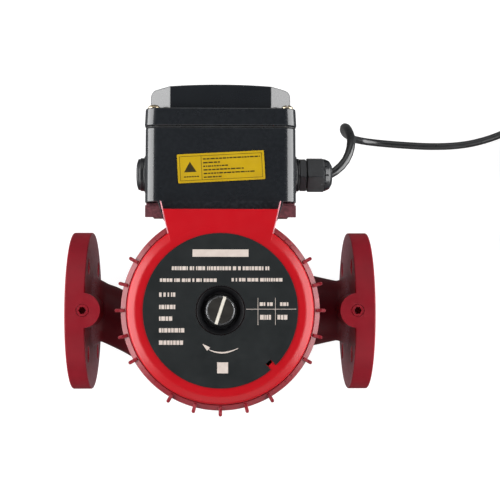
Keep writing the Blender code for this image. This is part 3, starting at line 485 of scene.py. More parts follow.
def boolean(target, operation, *tools):
    for tool in tools:
        modified(target, 'BOOLEAN', operation=operation, object=tool, solver='EXACT')
        cage = bmesh.new()
        cage.from_mesh(target.data)
        bmesh.ops.remove_doubles(cage, verts=cage.verts, dist=WELD)
        bmesh.ops.dissolve_degenerate(cage, edges=cage.edges, dist=WELD)
        cage.to_mesh(target.data)
        cage.free()
        bpy.data.objects.remove(tool)
    return target


def cut(target, *tools):
    return boolean(target, 'DIFFERENCE', *tools)


def join(target, *tools):
    return boolean(target, 'UNION', *tools)


def bevelled(item, width, segments=2, angle=35.0):
    return modified(item, 'BEVEL', width=width * MM, segments=segments, limit_method='ANGLE',
                    angle_limit=math.radians(angle), use_clamp_overlap=True)


def piece(item, surface, replaces=(), body="pump", sharp=38.0, flat=True):
    """Shade, paint and hang a finished piece on its body."""
    item.data.shade_smooth()
    item.data.set_sharp_from_angle(angle=math.radians(sharp))
    if flat:
        modified(item, 'WEIGHTED_NORMAL', keep_sharp=True, weight=100)
    item.data.materials.clear()
    item.data.materials.append(MAT[surface])
    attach(item, body)
    if replaces:
        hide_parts(*([replaces] if isinstance(replaces, str) else replaces))
    return item


def around(radius, degrees, height):
    angle = math.radians(degrees)
    return (radius * math.cos(angle), radius * math.sin(angle), height)


def at_screw(name, radius, degrees, low, high, sides, edge=0.0):
    """Rod along Z, at one of the motor screws."""
    start, end = (around(MOTOR_SCREW_R, degrees, height) for height in (low, high))
    return rod(name, radius, start, end, sides, edge)


def smooth_route(points, spacing):
    """Evenly spaced points on a Catmull-Rom curve through the given points."""
    points = [Vector(point) for point in points]
    padded = [2 * points[0] - points[1]] + points + [2 * points[-1] - points[-2]]
    dense = []
    for a, b, c, d in zip(padded, padded[1:], padded[2:], padded[3:]):
        for step in range(20):
            t = step / 20
            dense.append(0.5 * (2 * b + (c - a) * t + (2 * a - 5 * b + 4 * c - d) * t * t
                                + (3 * b - a - 3 * c + d) * t ** 3))
    dense.append(points[-1])
    lengths = [0.0]
    for a, b in zip(dense, dense[1:]):
        lengths.append(lengths[-1] + (b - a).length)
    count = max(2, round(lengths[-1] / spacing))
    result, index = [], 0
    for number in range(count + 1):
        goal = lengths[-1] * number / count
        while index < len(lengths) - 2 and lengths[index + 1] < goal:
            index += 1
        part = (goal - lengths[index]) / (lengths[index + 1] - lengths[index])
        result.append(dense[index].lerp(dense[index + 1], part))
    return result


def tube_mesh(name, points, radii, sides=32):
    """Closed tube along points, with a radius for each."""
    cage = bmesh.new()
    rings, side = [], None
    for index, point in enumerate(points):
        ahead = Vector(points[min(index + 1, len(points) - 1)])
        along = (ahead - Vector(points[max(index - 1, 0)])).normalized()
        if side is None:
            side = along.orthogonal().normalized()
        side = (side - along * side.dot(along)).normalized()
        other = along.cross(side)
        ring = []
        for step in range(sides):
            angle = 2 * math.pi * step / sides
            offset = (side * math.cos(angle) + other * math.sin(angle)) * radii[index]
            ring.append(cage.verts.new((Vector(point) + offset) * MM))
        rings.append(ring)
    for first, second in zip(rings, rings[1:]):
        for step in range(sides):
            after = (step + 1) % sides
            cage.faces.new((first[step], first[after], second[after], second[step]))
    cage.faces.new(rings[0])
    cage.faces.new(list(reversed(rings[-1])))
    return solid(name, cage)


# ------------ camera, floor and lights


def build_stage():
    """Camera above the pump, pale floor and soft studio lights."""
    camera = bpy.data.objects.new("camera", bpy.data.cameras.new("camera"))
    bpy.context.scene.collection.objects.link(camera)
    camera.data.lens = CAMERA_LENS
    camera.data.sensor_width = CAMERA_SENSOR
    camera.data.clip_end = 20.0
    back = -Vector(CAMERA_AIM).normalized()
    right = Vector((0, 1, 0)).cross(back).normalized()
    rotation = Matrix((right, back.cross(right), back)).transposed().to_4x4()
    camera.matrix_world = Matrix.Translation((0, 0, CAMERA_HEIGHT)) @ rotation
    bpy.context.scene.camera = camera

    floor = block("floor", (-3000, -3000, -20), (3000, 3000, -0.05))
    pale = Surface("floor_pale", specular=0.1)
    pale.paint((128, 128, 128), (124, 124, 124), 3.0).rough(0.8, 0.9, 20.0)
    pale.shader.inputs["Emission Color"].default_value = (1.0, 1.0, 1.0, 1.0)
    pale.shader.inputs["Emission Strength"].default_value = FLOOR_GLOW
    floor.data.materials.append(pale.done())
    floor.visible_glossy = False
    floor.visible_diffuse = False

    build_world()
    bpy.context.scene.view_settings.view_transform = 'Standard'
    for name, place, target, size, power in (
            ("side_left", (-0.80, 0.04, 0.53), (0, 0.04, 0.40), (1.1, 1.0), 17.0),
            ("side_right", (0.80, 0.04, 0.53), (0, 0.04, 0.40), (1.1, 1.0), 15.5),
            ("top_back", (-0.1, 1.0, 0.8), (0, 0, 0.12), (1.2, 0.8), 2.0),
            ("front_low", (0.1, -1.0, 0.7), (0, 0, 0.12), (1.2, 0.8), 2.0)):
        lamp = bpy.data.lights.new(name, 'AREA')
        lamp.shape = 'RECTANGLE'
        lamp.size, lamp.size_y = size
        lamp.energy = power
        item = bpy.data.objects.new(name, lamp)
        bpy.context.scene.collection.objects.link(item)
        item.location = place
        item.rotation_mode = 'QUATERNION'
        item.rotation_quaternion = (Vector(target) - Vector(place)).to_track_quat('-Z', 'Y')


def build_world():
    """Dark overhead and bright round the horizon, so that flat black faces stay black."""
    world = bpy.data.worlds.new("studio")
    bpy.context.scene.world = world
    world.use_nodes = True
    tree = world.node_tree
    way = tree.nodes.new("ShaderNodeTexCoord").outputs["Generated"]
    split = tree.nodes.new("ShaderNodeSeparateXYZ")
    tree.links.new(way, split.inputs["Vector"])
    up = split.outputs["Z"]
    above = map_range(tree, up, 0.25, 0.85, WORLD_SIDES, WORLD_ABOVE)
    strength = multiplied(tree, above, map_range(tree, up, -0.12, 0.02, WORLD_BELOW, 1.0))
    tree.links.new(strength, tree.nodes["Background"].inputs["Strength"])
    tree.nodes["Background"].inputs["Color"].default_value = (1.0, 1.0, 1.0, 1.0)


# ------------ the cord


INNER, OUTER, BESIDE = 27.17, 33.67, 41.6
LAYERS = (3.95, 10.3, 16.65, 23.0)
LAST_TURN, COIL_END = 1815, 1927.3


def ease(value):
    return 0.5 - 0.5 * math.cos(math.pi * min(1.0, max(0.0, value)))


def coil_points():
    """Clockwise turns, two side by side and three high. Where the fifth turn ends, it
    passes over the fourth in a low hump, then comes down the outside of the coil.

    Each stop is (degrees turned since the coil began, radius, height)."""
    one, two, three, four = LAYERS
    stops = [
        (90, OUTER, one), (360, OUTER, one), (480, INNER, one),
        (645, INNER, one), (735, INNER, two), (900, INNER, two), (1020, OUTER, two),
        (1170, OUTER, two), (1260, OUTER, three), (1380, INNER, three), (1530, INNER, three),
        (1620, INNER, four), (1740, OUTER, four), (LAST_TURN, OUTER, three)]
    places = []
    for step in range(11):
        share = step / 11
        places.append((90 * share, OUTER + (BESIDE - OUTER) * (1 - share) ** 2, one))
    for start, end in zip(stops, stops[1:]):
        count = max(3, round((end[0] - start[0]) / 8))
        for step in range(count):
            share = step / count
            places.append((start[0] + (end[0] - start[0]) * share,
                           start[1] + (end[1] - start[1]) * ease(share),
                           start[2] + (end[2] - start[2]) * ease(share)))
    for step in range(16):
        share = step / 16
        lean = math.radians(90 - 96 * ease(share))
        reach = 6.35 + 1.35 * ease(share)
        places.append((LAST_TURN + (COIL_END - LAST_TURN) * share,
                       OUTER + reach * math.cos(lean), two + reach * math.sin(lean)))
    points = []
    for turned_by, radius, height in places:
        angle = math.radians(COIL_START_DEG - turned_by)
        points.append(Vector((COIL_CENTRE[0] + radius * math.cos(angle),
                              COIL_CENTRE[1] + radius * math.sin(angle), height)))
    return points


def build_cord():
    """One curve for the whole mains cord, its tie and its plug."""
    route = smooth_route(CORD_ROUTE, 6.0)[:-1] + coil_points() + smooth_route(TAIL_ROUTE, 6.0)
    curve = bpy.data.curves.new("mains_cord", 'CURVE')
    curve.dimensions = '3D'
    curve.bevel_depth = CORD_R * MM
    curve.bevel_resolution = 8
    curve.use_fill_caps = True
    spline = curve.splines.new('POLY')
    spline.points.add(len(route) - 1)
    for target, point in zip(spline.points, route):
        target.co = (*(point * MM), 1)
    cord = add("mains_cord", curve)
    curve.materials.append(MAT["sheath"])
    spline.use_smooth = True
    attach(cord, "pump")
    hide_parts("supply_cord", "cord_coil", "cord_tail")

    face_x, axis_y, axis_z = 271.0, 64.0, 19.0
    plug = turned("plug_body", [
        (0, 0), (17.4, 0, 1.2), (18.3, -5, 1), (18.3, -19, 3), (14.8, -23.5, 3), (11.2, -27, 4),
        (9.2, -31, 3), (0, -31)], 96, (face_x, axis_y, axis_z), MINUS_X)
    for side in (-1, 1):
        y = axis_y + side * 9.5
        cut(plug, rod("socket", 2.7, (face_x - 2, y, axis_z), (face_x + 6, y, axis_z), 32))
    grip = []
    for degrees in range(0, 360, 24):
        bar = block("bar", (5, -0.8, -0.5), (14, 0.8, 0.5))
        lift = Matrix.Translation((0, 0, 18.3 * MM))
        bar.data.transform(placement((face_x, axis_y, axis_z), (degrees, 0, 0)) @ lift)
        grip.append(bevelled(bar, 0.35))
    plug = piece(merge("plug_body", plug, *grip), "nylon", "mains_plug")
    sleeve = [(3.4, -29), (8.6, -29, 1), (8.2, -31.5, 0.5)]
    for number in range(4):
        low = -32.0 - 2.1 * number
        radius = 7.6 - 0.75 * number
        sleeve += [(radius - 1.1, low, 0.3), (radius - 1.1, low - 0.8, 0.3), (radius, low - 0.9, 0.3),
                   (radius - 0.2, low - 2.0, 0.3)]
    sleeve += [(3.4, -41.2)]
    relief = piece(turned("plug_relief", sleeve, 64, (face_x, axis_y, axis_z), MINUS_X, 2),
                   "rubber")
    for number, side in ((1, -1), (2, 1)):
        y = axis_y + side * 9.5
        pin = turned(f"pin_{number}", [(0, 0), (2.4, 0), (2.4, 24.1, 1.2), (0, 24.1)], 32,
                     (face_x + 5.6, y, axis_z), MINUS_X)
        piece(pin, "steel", f"plug_pin_{number}")

    tie_outer = rounded([(22.4, 0.05, 2), (38.2, 0.05, 2), (38.2, 20.8, 2), (22.4, 20.8, 2)])
    tie_inner = rounded([(23.2, 0.4, 1.6), (37.4, 0.4, 1.6), (37.4, 20.2, 1.6), (23.2, 20.2, 1.6)])
    tie = prism("tie", tie_outer, -2.5, 2.5, (*COIL_CENTRE, 0), (90, 0, TIE_DEG))
    cut(tie, prism("inside", tie_inner, -4, 4, (*COIL_CENTRE, 0), (90, 0, TIE_DEG)))
    tie = piece(bevelled(tie, 0.25), "nylon", "coil_tie")


# ------------ the casing


def volute_path():
    """Points and passage radii of the volute, then of the throat to the discharge."""
    points, radii = [], []
    for step in range(41):
        share = step / 40
        radius = 7.0 + 7.0 * share
        height = min(102.0, 111.5 - radius)
        points.append(Vector(around(56.0 - 2.0 * share, 190.0 - 280.0 * share, height)))
        radii.append(radius)
    throat = smooth_route([
        (8, -53.4, 97.5), (0, -54, 97.0), (-19, -50.5, 95.5), (-35, -41, 90.5), (-48, -30, 84.0),
        (-59, -21.5, 77.5), (-70, -14.8, 72.5), (-80, -9.5, 69.8), (-90, -4.5, 68.3),
        (-98, -1.4, PIPE_Z), (-105, 0, PIPE_Z)], 5.0)
    throat_radii = [13.2, 14.2, 15.0]
    for number in range(3, len(throat)):
        share = number / (len(throat) - 1)
        throat_radii.append(15.2 + 4.2 * share ** 2)
    return (points, radii), (throat, throat_radii)


def build_casing():
    """Cast body with soft fillets, two turned flanges, gauge bosses and plugs."""
    pipe = (0, 0, PIPE_Z)
    bowl = turned("bowl", [(0, 76), (52, 76, 8), (65, 82, 8), (70, 92, 4), (70, 101, 3),
                           (77, 106.5, 3), (77, 122, 0.6), (0, 122)], 160)
    suction = turned("suction", [(0, -27), (19, -19, 9), (27, 0, 9), (27, 40, 9), (29, 52, 9),
                                 (29.4, 77, 6), (24.8, 98, 4), (29, 107), (0, 107)], 96, pipe, PLUS_X)
    discharge = turned("discharge", [(0, 91), (20, 91, 3), (24.2, 97, 3), (29, 107), (0, 107)], 96,
                       pipe, MINUS_X)
    passages = volute_path()
    walls = [tube_mesh("wall", points, [radius + 5.0 for radius in radii], 40)
             for points, radii in passages]
    column = rod("column", 24.5, (0, 0, 66), (0, 0, 84), 64)
    foot = rod("centre_foot", 16, (0, 0, 0), (0, 0, 60), 64)
    feet = [rod("foot", 9, (x, y, 0), (x, y, 84), 48) for x in (-40, 40) for y in (-40, 40)]
    ribs = [block("rib", (-58, -3, low), (58, 3, low + 58), turn=(0, 0, angle))
            for low, angle in ((24, 45), (25, -45))]
    body = merge("casing_body", bowl, suction, discharge, *walls, column, foot, *feet, *ribs)
    modified(body, 'REMESH', mode='VOXEL', voxel_size=1.3 * MM)
    modified(body, 'SMOOTH', factor=0.5, iterations=7)
    modified(body, 'DECIMATE', ratio=0.45)
    hollows = [tube_mesh("passage", points, radii, 32) for points, radii in passages]
    chamber = turned("chamber", [(0, PIPE_Z), (18, PIPE_Z), (18, 89), (22, 89), (22, 92), (53, 92),
                                 (53, 113), (61.3, 113), (61.3, 130), (0, 130)], 96)
    bores = [turned("bore", [(0, low), (20.3, low), (20.3, 120), (0, 120)], 64, pipe, way)
             for low, way in ((-6, PLUS_X), (98, MINUS_X))]
    holes = [at_screw("hole", 4.3, degrees, 110.4, 130, 24)
             for degrees in SCREW_ANGLES]
    cut(body, chamber, *hollows, *bores, *holes)
    piece(body, "cast", "pump_casing", sharp=50.0, flat=False)

    for name, side, way in (("suction", 1, PLUS_X), ("discharge", -1, MINUS_X)):
        flange = turned(f"flange_{name}", [
            (20, 102), (27, 102), (29.5, 106, 3), (FLANGE_R, 106, 1.2), (FLANGE_R, 122, 1.2),
            (40, 122, 0.3), (40, 125, 0.5), (20, 125, 0.8)], 192, pipe, way)
        x = side * BOSS_X
        boss = rod("boss", BOSS_R, (x, 0, 96), (x, 0, 136), 96)
        boolean(boss, 'INTERSECT', rod("rim", FLANGE_R - 0.04, (side * 80, 0, PIPE_Z),
                                       (side * 121.2, 0, PIPE_Z), 192))
        join(flange, boss)
        for degrees in SCREW_ANGLES:
            angle = math.radians(degrees)
            y = BOLT_CIRCLE_R * math.cos(angle)
            z = PIPE_Z + BOLT_CIRCLE_R * math.sin(angle)
            cut(flange, rod("bolt_hole", BOLT_HOLE_R, (side * 100, y, z), (side * 130, y, z), 48))
        cut(flange, turned("gauge_hole", [(0, 122.6), (5.05, 122.6), (5.05, 140), (0, 140)], 64, (x, 0, 0)))
        piece(bevelled(flange, 0.35, 2, 55.0), "cast")
        plug = rod("plug", 4.9, (x, 0, 123.5), (x, 0, 132.7), 64, 0.4)
        cut(plug, rod("socket", 3.0, (x, 0, 126.0), (x, 0, 140), 6))
        plug.name = f"gauge_plug_{name}_fine"
        piece(bevelled(plug, 0.2, 1), "cast", f"gauge_plug_{name}")


# ------------ the motor


def build_motor():
    """Finned housing, saddle, screws."""
    shell = turned("shell", [
        (77, 122.3, 0.6), (77, 129, 2), (62, 132.5, 4), (62, 230, 4), (68.6, 235, 2),
        (68.6, 239.9, 0.6), (64.7, 242.1, 0.4), (64.45, 240.2, 0.1), (60, 240.2), (60, 232),
        (17.5, 232), (17.5, 228), (57.2, 228), (57.2, 122.3)], 192)
    for degrees in SCREW_ANGLES:
        for aside in (-2.4, 2.4):
            cut(shell, block("tick", (64, -0.25, 240.6), (70, 0.25, 243), turn=(0, 0, degrees + aside)))
    fins = []
    for degrees in FIN_ANGLES:
        outline = rounded([(60.6, -2.1, 0), (63.4, -1.2, 1.5), (72.5, -1.25, 1.2),
                           (72.5, 1.25, 1.2), (63.4, 1.2, 1.5), (60.6, 2.1, 0)])
        fins.append(bevelled(prism("fin", outline, 130.4, 240.4, turn=(0, 0, degrees)),
                             0.7, 2, 60.0))
        crown = rounded([(66.0, -1.2, 0.4), (72.5, -1.25, 1.2), (72.5, 1.25, 1.2), (66.0, 1.2, 0.4)])
        fins.append(bevelled(prism("crown", crown, 238.0, 242.3, turn=(0, 0, degrees)),
                             0.7, 2, 60.0))
    pads = [cut(at_screw("pad", 7.6, degrees, 124, 132, 48, 0.8),
                at_screw("hole", 4.3, degrees, 120, 140, 32)) for degrees in SCREW_ANGLES]
    housing = merge("housing_finned", shell, *fins, *pads)
    piece(housing, "housing", "motor_housing")

    pedestal = block("pedestal", (-34, 40, 150), (34, 72.6, 236))
    cut(pedestal, rod("arch", 59.6, (0, 0, 140), (0, 0, 250), 96))
    slab = prism("slab", [(64.5, 238), (73.0, 238), (73.0, 146), (72.0, 146)], -52.4, 52.4)
    slab.data.transform(Matrix(((0, 0, 1, 0), (1, 0, 0, 0), (0, 1, 0, 0), (0, 0, 0, 1))))
    bevelled(slab, 0.5)
    lip = block("lip", (-51.6, 70.6, 146.8), (51.6, 74.5, 237.2))
    bevelled(lip, 0.6)
    piece(merge("saddle", bevelled(pedestal, 1.0), slab, lip), "saddle")

    for number, degrees in enumerate(SCREW_ANGLES, 1):
        screw = at_screw("screw", 6.5, degrees, 132.3, 140, 64, 0.6)
        cut(screw, at_screw("socket", 3.46, degrees, 135.6, 145, 6))
        shank = at_screw("shank", 3.9, degrees, 111, 133, 32, 0.5)
        screw = merge(f"motor_screw_fine_{number}", bevelled(screw, 0.2, 1), shank)
        piece(screw, "screw", f"motor_screw_{number}")


def build_front():
    """Front cover with its tongue, nameplate with generic print, collar and vent plug."""
    cover = turned("cover", [
        (17.1, COVER_Z, 0.4), (58.2, COVER_Z, 5), (63.8, 249.5, 4), (64.3, 241.3, 0.3), (62.4, 241.3),
        (61.0, 248, 3), (57, 251, 2), (17.1, 251)], 224)
    tongue = prism("tongue", [(-39.5, 69.1), (-34.1, 46), (34.1, 46), (39.5, 69.1)], 246.2, 252.96)
    bevelled(tongue, 0.5)
    cut(cover, block("clip_hole", (47.4, -2, 245), (49.6, 2, 256), turn=(0, 0, NOTCH_DEG)))
    cover = merge("cover_with_tongue", cover, tongue)
    piece(cover, "cover", "front_cover")

    # Thin light-pink strips along the tongue's slanted edges: a painted highlight.
    lips = []
    for side in (-1, 1):
        lip = block("lip", (-0.35, 0, 245.9), (0.35, 22.8, 253.0))
        lean = -side * math.degrees(math.atan2(5.33, 22.8))
        lip.data.transform(placement((side * 35.75, 52.3, 0), (0, 0, lean)))
        lips.append(bevelled(lip, 0.15, 1))
    piece(merge("tongue_edge_highlights", *lips), "lip")

    plate = turned("plate", [(16.85, 253.3), (52.6, 253.3), (52.6, 253.6, 0.12),
                             (16.85, 253.6, 0.12)], 224)
    cut(plate, block("notch", (47.4, -2.3, 250), (60, 2.3, 256), turn=(0, 0, NOTCH_DEG)))
    piece(plate, "plate", "nameplate")
    piece(nameplate_print(), "print")

    # The collar's near-black colour is partly its rubber and partly painted shade of the recess round the
    # vent plug.
    collar = turned("collar", [
        (11, 243), (16.8, 243), (16.8, 252.6, 0.4), (15.9, 252.6, 0.4), (12.6, 247.2, 1),
        (11, 247.2, 0.3)], 128)
    piece(collar, "recess", "vent_collar")
    # The plug body's dark colour is a painted dark reflection of its chromed face.
    plug = turned("plug", [(0, 234), (7.6, 234), (8.2, 234.6), (8.2, 245), (9.7, 245), (10.1, 245.4),
                           (10.1, 250.6, 0.6), (9.2, 251, 0.3), (0, 251)], 128)
    cut(plug, block("slot", (-12, -1.15, 248.8), (12, 1.15, 255), turn=(0, 0, SLOT_DEG)))
    piece(bevelled(plug, 0.12, 1), "painted_dark_reflection_steel", "vent_plug", "vent_screw")
    rim = turned("vent_rim", [(8.9, 250.2), (8.9, 251.03, 0.1), (9.5, 251.03, 0.3),
                              (10.16, 250.4, 0.3), (10.16, 249.7), (9.8, 249.7)], 128)
    cut(rim, block("gap", (-12, -1.15, 248.8), (12, 1.15, 255), turn=(0, 0, SLOT_DEG)))
    piece(rim, "steel", body="vent_screw")
    # The slot floor sits almost flush with the plug face and is coloured near white: a painted reflection.
    floor = block("slot_floor", (-9.8, -1.12, 248.4), (9.8, 1.12, 250.85), turn=(0, 0, SLOT_DEG))
    piece(floor, "bright", body="vent_screw")


def greeked(shapes, rng, x0, x1, y, height, z):
    """A row of small blocks where the real plate has a line of print. They form no letters."""
    x = x0
    while x < x1 - 0.6:
        width = min(rng.uniform(0.8, 2.6), x1 - x)
        shapes.append(block("print", (x, y - height / 2, z), (x + width, y + height / 2, z + PRINT_HIGH)))
        x += width + rng.choice((0.45, 0.45, 0.45, 1.3))


def nameplate_print():
    """Plain bars, a ruled grid and an arrow for the direction of rotation."""
    rng = random.Random(7)
    z = PRINT_Z
    shapes = [block("bar", (-19, 36.4, z), (19, 41.4, z + PRINT_HIGH))]
    greeked(shapes, rng, -33.0, 34.0, 28.6, 2.6, z)
    greeked(shapes, rng, -41.0, -2.0, 20.5, 2.3, z)
    greeked(shapes, rng, 7.5, 42.0, 20.8, 2.3, z)
    for y, end in ((10.7, -30.6), (2.4, -30.6), (-5.5, -32.0), (-13.4, -23.6), (-21.7, -25.2)):
        greeked(shapes, rng, -41.5, end, y, 2.9, z)
    for x in (25.4, 37.2):
        shapes.append(block("rule", (x - 0.13, -9.8, z), (x + 0.13, 8.6, z + 0.05)))
    shapes.append(block("rule", (17.4, 0.75, z), (51.4, 1.05, z + 0.055)))
    for x0, x1 in ((26.6, 35.4), (40.4, 46.0)):
        greeked(shapes, rng, x0, x1, 4.3, 2.4, z)
    for x0, x1 in ((26.8, 35.4), (38.6, 46.0)):
        greeked(shapes, rng, x0, x1, -4.6, 3.2, z)
    shapes.append(block("square", (-2.2, -42.4, z), (5.2, -35.0, z + PRINT_HIGH)))

    upper, lower = [], []
    for step in range(25):
        share = step / 24
        x = 12.0 - 20.0 * share
        y = -24.9 - 3.6 * math.sin(math.pi * (0.06 + 0.80 * share))
        thickness = 0.18 + 0.34 * math.sin(math.pi * share)
        upper.append((x, y + thickness))
        lower.append((x, y - thickness))
    shapes.append(prism("arc", upper + lower[::-1], z, z + PRINT_HIGH))
    shapes.append(prism("head", [(-12.2, -22.5), (-9.0, -27.2), (-6.9, -24.9)],
                        z, z + 0.065))
    return merge("nameplate_print", *shapes)


# ------------ the terminal box


def tapered(name, y_low, y_high, half_x, half_z, corner):
    """Box along Y with rounded upright corners."""
    cage = bmesh.new()
    rings = []
    for y, hx, hz in ((y_low, half_x[0], half_z[0]), (y_high, half_x[1], half_z[1])):
        outline = rounded([(-hx, -hz, corner), (hx, -hz, corner), (hx, hz, corner),
                           (-hx, hz, corner)], 12)
        rings.append([cage.verts.new((x * MM, y * MM, (BOX_Z + z) * MM)) for x, z in outline])
    for index in range(len(rings[0])):
        after = (index + 1) % len(rings[0])
        cage.faces.new((rings[0][index], rings[0][after], rings[1][after], rings[1][index]))
    cage.faces.new(rings[0])
    cage.faces.new(list(reversed(rings[1])))
    return solid(name, cage)


def dome_solid(name, inset, bottom_y):
    """Arched dome with its four corners cut, grown inwards by the inset."""
    arch_r, edge_r = DOME_ARCH_R - inset, 4.5 - inset
    centre_y = DOME_TOP_Y - DOME_ARCH_R
    half_x, half_z = DOME_HALF_X - inset, DOME_HALF_Z - inset
    lean = math.asin((half_x - edge_r) / (arch_r - edge_r))
    corner = ((arch_r - edge_r) * math.sin(lean), centre_y + (arch_r - edge_r) * math.cos(lean))
    right = []
    for step in range(13):
        angle = lean * step / 12
        right.append((arch_r * math.sin(angle), centre_y + arch_r * math.cos(angle)))
    for step in range(1, 11):
        angle = lean + (math.pi / 2 - lean) * step / 10
        right.append((corner[0] + edge_r * math.sin(angle), corner[1] + edge_r * math.cos(angle)))
    right.append((half_x, bottom_y))
    left = [(-x, y) for x, y in reversed(right) if x > 0.001]
    arch = prism(name, right + left, BOX_Z - half_z, BOX_Z + half_z)
    size = 15.0 - inset * (2 - math.sqrt(2))
    x, z = half_x + 1, half_z + 1
    octagon = []
    for sign_x, sign_z in ((1, 1), (-1, 1), (-1, -1), (1, -1)):
        first = (sign_x * x, sign_z * (z - size - 1))
        second = (sign_x * (x - size - 1), sign_z * z)
        octagon += [first, second] if sign_x * sign_z > 0 else [second, first]
    limit = prism("limit", octagon, -180, -100, (0, 0, BOX_Z), (90, 0, 0))
    return boolean(arch, 'INTERSECT', limit)


def build_box():
    """Terminal box base, lid with its dome and screws, and the yellow plate."""
    base = tapered("base", 74.8, 126.0, (52.4, 52.2), (49.85, 49.85), 9.0)
    cavity = tapered("cavity", 78.0, 130.0, (49.6, 49.3), (47.05, 47.05), 6.2)
    bosses = [rod("boss", 13.5, (side * 49, *GLAND[1:]), (side * 55.5, *GLAND[1:]), 64)
              for side in (-1, 1)]
    skirt = prism("skirt", [(-44.0, 77), (-39.6, 63.5), (-39.0, 61.5), (39.0, 61.5), (39.6, 63.5),
                            (44.0, 77)], 242.7, 245.68)
    cut(skirt, rod("clearance", 65.5, (0, 0, 230), (0, 0, 260), 96))
    join(base, *bosses)
    bevelled(base, 0.5, 3, 40.0)
    cut(base, cavity)
    for side in (-1, 1):
        cut(base, rod("entry", 8.4, (side * 40, *GLAND[1:]), (side * 60, *GLAND[1:]), 48))
    posts = []
    for x in (-LID_SCREW_X, LID_SCREW_X):
        for z in (BOX_Z + LID_SCREW_DZ, BOX_Z - LID_SCREW_DZ):
            post = rod("post", 4.2, (x, 77, z), (x, 125.9, z), 32)
            posts.append(cut(post, rod("hole", 2.1, (x, 112, z), (x, 130, z), 24)))
    base = merge("box_base", base, bevelled(skirt, 0.5), *posts)
    piece(base, "box", "terminal_box_base")

    lid = tapered("lid", 127.6, LID_TOP_Y, (52.8, 52.2), (50.4, 49.8), 9.0)
    bevelled(lid, 0.8, 3, 40.0)
    dome = dome_solid("dome", 0.0, 134)
    bevelled(dome, 0.7, 3, 28.0)
    join(lid, dome)
    cut(lid, dome_solid("hollow", 2.5, 120))
    corners = [(x, BOX_Z + dz) for x in (-LID_SCREW_X, LID_SCREW_X)
               for dz in (LID_SCREW_DZ, -LID_SCREW_DZ)]
    for x, z in corners:
        cut(lid, rod("hole", 2.1, (x, 120, z), (x, 150, z), 24))
    lid.name = "box_lid"
    piece(lid, "box", "terminal_box_lid", "lid")

    for number, (x, z) in enumerate(corners, 1):
        at = (x, LID_TOP_Y, z)
        head = turned("head", [(0, 0), (4.3, 0, 0.2), (4.3, 1.2, 0.9), (2.6, 2.7, 1.2), (0, 2.9)], 48,
                      at, PLUS_Y)
        cut(head, block("slot", (-6, 1.6, -0.5), (6, 6, 0.5), at, (0, 30 * number, 0)))
        shank = rod("shank", 1.6, (x, 115, z), (x, 139.4, z), 24, 0.3)
        screw = merge(f"lid_screw_fine_{number}", bevelled(head, 0.12, 1), shank)
        piece(screw, "brass", f"lid_screw_{number}", "lid")

    build_label()


def build_label():
    """Plain yellow plate with a frame, a plain triangle and rows of bars."""
    at, turn, z = (0.3, 98.7, 0), (0, 0, 3.1), BOX_Z + 50.15
    outline = rounded([(-30, -10, 0.8), (30, -10, 0.8), (30, 10, 0.8), (-30, 10, 0.8)], 4)
    piece(prism("label_plate", outline, z, z + 0.28, at, turn), "label",
          "warning_label")
    shapes, top = [], z + 0.26

    def bar(x0, y0, x1, y1):
        shapes.append(block("ink", (x0, y0, top), (x1, y1, top + 0.06), at, turn))

    for y in (-8.5, 8.2):
        bar(-28.4, y, 28.4, y + 0.28)
    for x in (-28.4, -13.6, 28.1):
        bar(x, -8.5, x + 0.28, 8.5)
    shapes.append(prism("triangle", [(-25.6, -2.6), (-17.0, -2.6), (-21.3, 4.6)], top, top + 0.06,
                        at, turn))
    rng = random.Random(11)
    rows = ((6.0, 27.0), (3.4, -0.6), (0.9, 5.2), (-1.6, 15.6), (-4.1, 23.0), (-6.6, 0.0))
    for y, end in rows:
        x = -12.2
        while x < end:
            width = rng.uniform(0.9, 3.2)
            bar(x, y - 0.45, min(x + width, end), y + 0.45)
            x += width + 0.5
    x = -25.9
    while x < -16.6:
        bar(x, -6.2, x + 1.4, -5.4)
        x += 1.8
    piece(merge("label_print", *shapes), "ink")


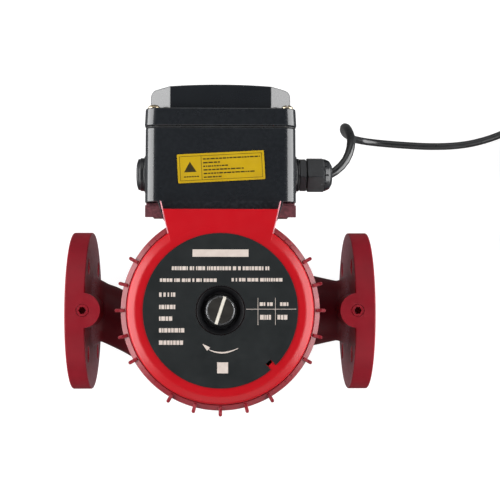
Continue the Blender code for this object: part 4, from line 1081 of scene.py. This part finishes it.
def build_entries():
    """Cable gland with its hexagons, and the blanking plug."""
    def hexagon(name, radius, low, high, edge):
        outline = [(radius * math.cos(math.radians(60 * k + 12)),
                    radius * math.sin(math.radians(60 * k + 12))) for k in range(6)]
        item = prism(name, outline, low, high, GLAND, PLUS_X)
        return bevelled(item, edge, 3)

    def hexagon_round(item, radius, low, high, chamfer):
        """Turned chamfers on the hexagon's corners."""
        limit = turned("limit", [(0, low - 0.01), (radius - chamfer, low - 0.01, 0.3),
                                 (radius + 0.05, low + chamfer * 0.7, 0.3),
                                 (radius + 0.05, high - chamfer * 0.7, 0.3),
                                 (radius - chamfer, high + 0.01, 0.3), (0, high + 0.01)], 96, GLAND,
                       PLUS_X)
        return boolean(item, 'INTERSECT', limit)

    washer = turned("washer", [(8.5, 55.8), (12, 55.8, 0.5), (12, 57.3, 0.5), (8.5, 57.3)], 96, GLAND,
                    PLUS_X)
    piece(washer, "rubber", "gland_washer")
    body = hexagon_round(hexagon("body", 12.9, 57.6, 62.4, 0.4), 12.7, 57.6, 62.4, 0.7)
    thread = turned("thread", [(4.3, 40.3), (7.9, 40.3, 0.6), (7.9, 58), (9.3, 58), (9.3, 74), (4.3, 74)],
                    64, GLAND, PLUS_X)
    rib = turned("rib", [(9.2, 62.75), (9.75, 62.75), (9.75, 63.0), (9.2, 63.0)], 64, GLAND, PLUS_X)
    piece(merge("gland_body_fine", body, thread, rib), "nylon", "gland_body")
    nut = hexagon_round(hexagon("nut", 13.6, 63.1, 75.2, 0.45), 13.4, 63.1, 75.2, 0.9)
    dome = turned("dome", [(8, 73), (11.8, 73), (11.8, 76.2, 1.5), (10.3, 79.6, 2.4), (7, 81.4, 1.2),
                           (5.6, 81.4, 0.5), (5.6, 79.0), (7.2, 79.2), (7.2, 74.3)], 96, GLAND, PLUS_X)
    for degrees in range(6, 366, 30):
        groove = block("groove", (-0.55, 10.9, 75.6), (0.55, 12.6, 81.0))
        spin = Matrix.Rotation(math.radians(degrees), 4, 'Z')
        groove.data.transform(placement(GLAND, PLUS_X) @ spin)
        cut(dome, groove)
    piece(merge("gland_nut_fine", nut, dome), "nylon", "gland_nut")
    seal = turned("seal", [(3.3, 74.6), (6.9, 74.6), (6.9, 78.9), (5.5, 79.4), (5.5, 80.6, 0.4),
                           (3.3, 80.2, 0.4)], 64, GLAND, PLUS_X)
    piece(seal, "rubber", "gland_grommet")

    plug = turned("blank", [
        (0, 40.3), (7.4, 40.3), (8, 40.9), (8, 55.8), (12.1, 55.8, 0.3), (12.1, 58.2, 0.5),
        (11.4, 58.6, 0.3), (11.4, 60.0, 1.0), (8, 61.1, 2), (0, 61.4)], 96, GLAND, MINUS_X)
    piece(plug, "nylon", "blanking_plug")


# ------------ nodes kept from the CAD


def paint_kept_nodes():
    """Better materials for the CAD nodes that stay."""
    looks = {
        "steel": ("shaft", "impeller_nut", "bearing_plate", "rotor_can", "rotor_core",
                  "capacitor_clip", "box_screw_1", "box_screw_2", "earth_screw"),
        "composite": ("impeller",), "brass": ("wear_ring",), "carbon": ("thrust_bearing",),
        "ceramic": ("lower_bearing", "upper_bearing"), "lamination": ("stator_core",),
        "copper": ("winding_lower", "winding_upper"), "white": ("terminal_block", "capacitor"),
        "rubber": ("casing_gasket", "vent_plug_seal", "box_gasket"),
        "nylon": ("gland_locknut", "blanking_plug_nut"), "sheath": ("cord_inner_end",),
        "brown": ("live_lead",), "blue": ("neutral_lead",), "green": ("earth_lead",),
    }
    for surface, names in looks.items():
        for name in names:
            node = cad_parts[name]
            node.data.materials.clear()
            node.data.materials.append(MAT[surface])


build_stage()
build_cord()
build_casing()
build_motor()
build_front()
build_box()
build_entries()
paint_kept_nodes()
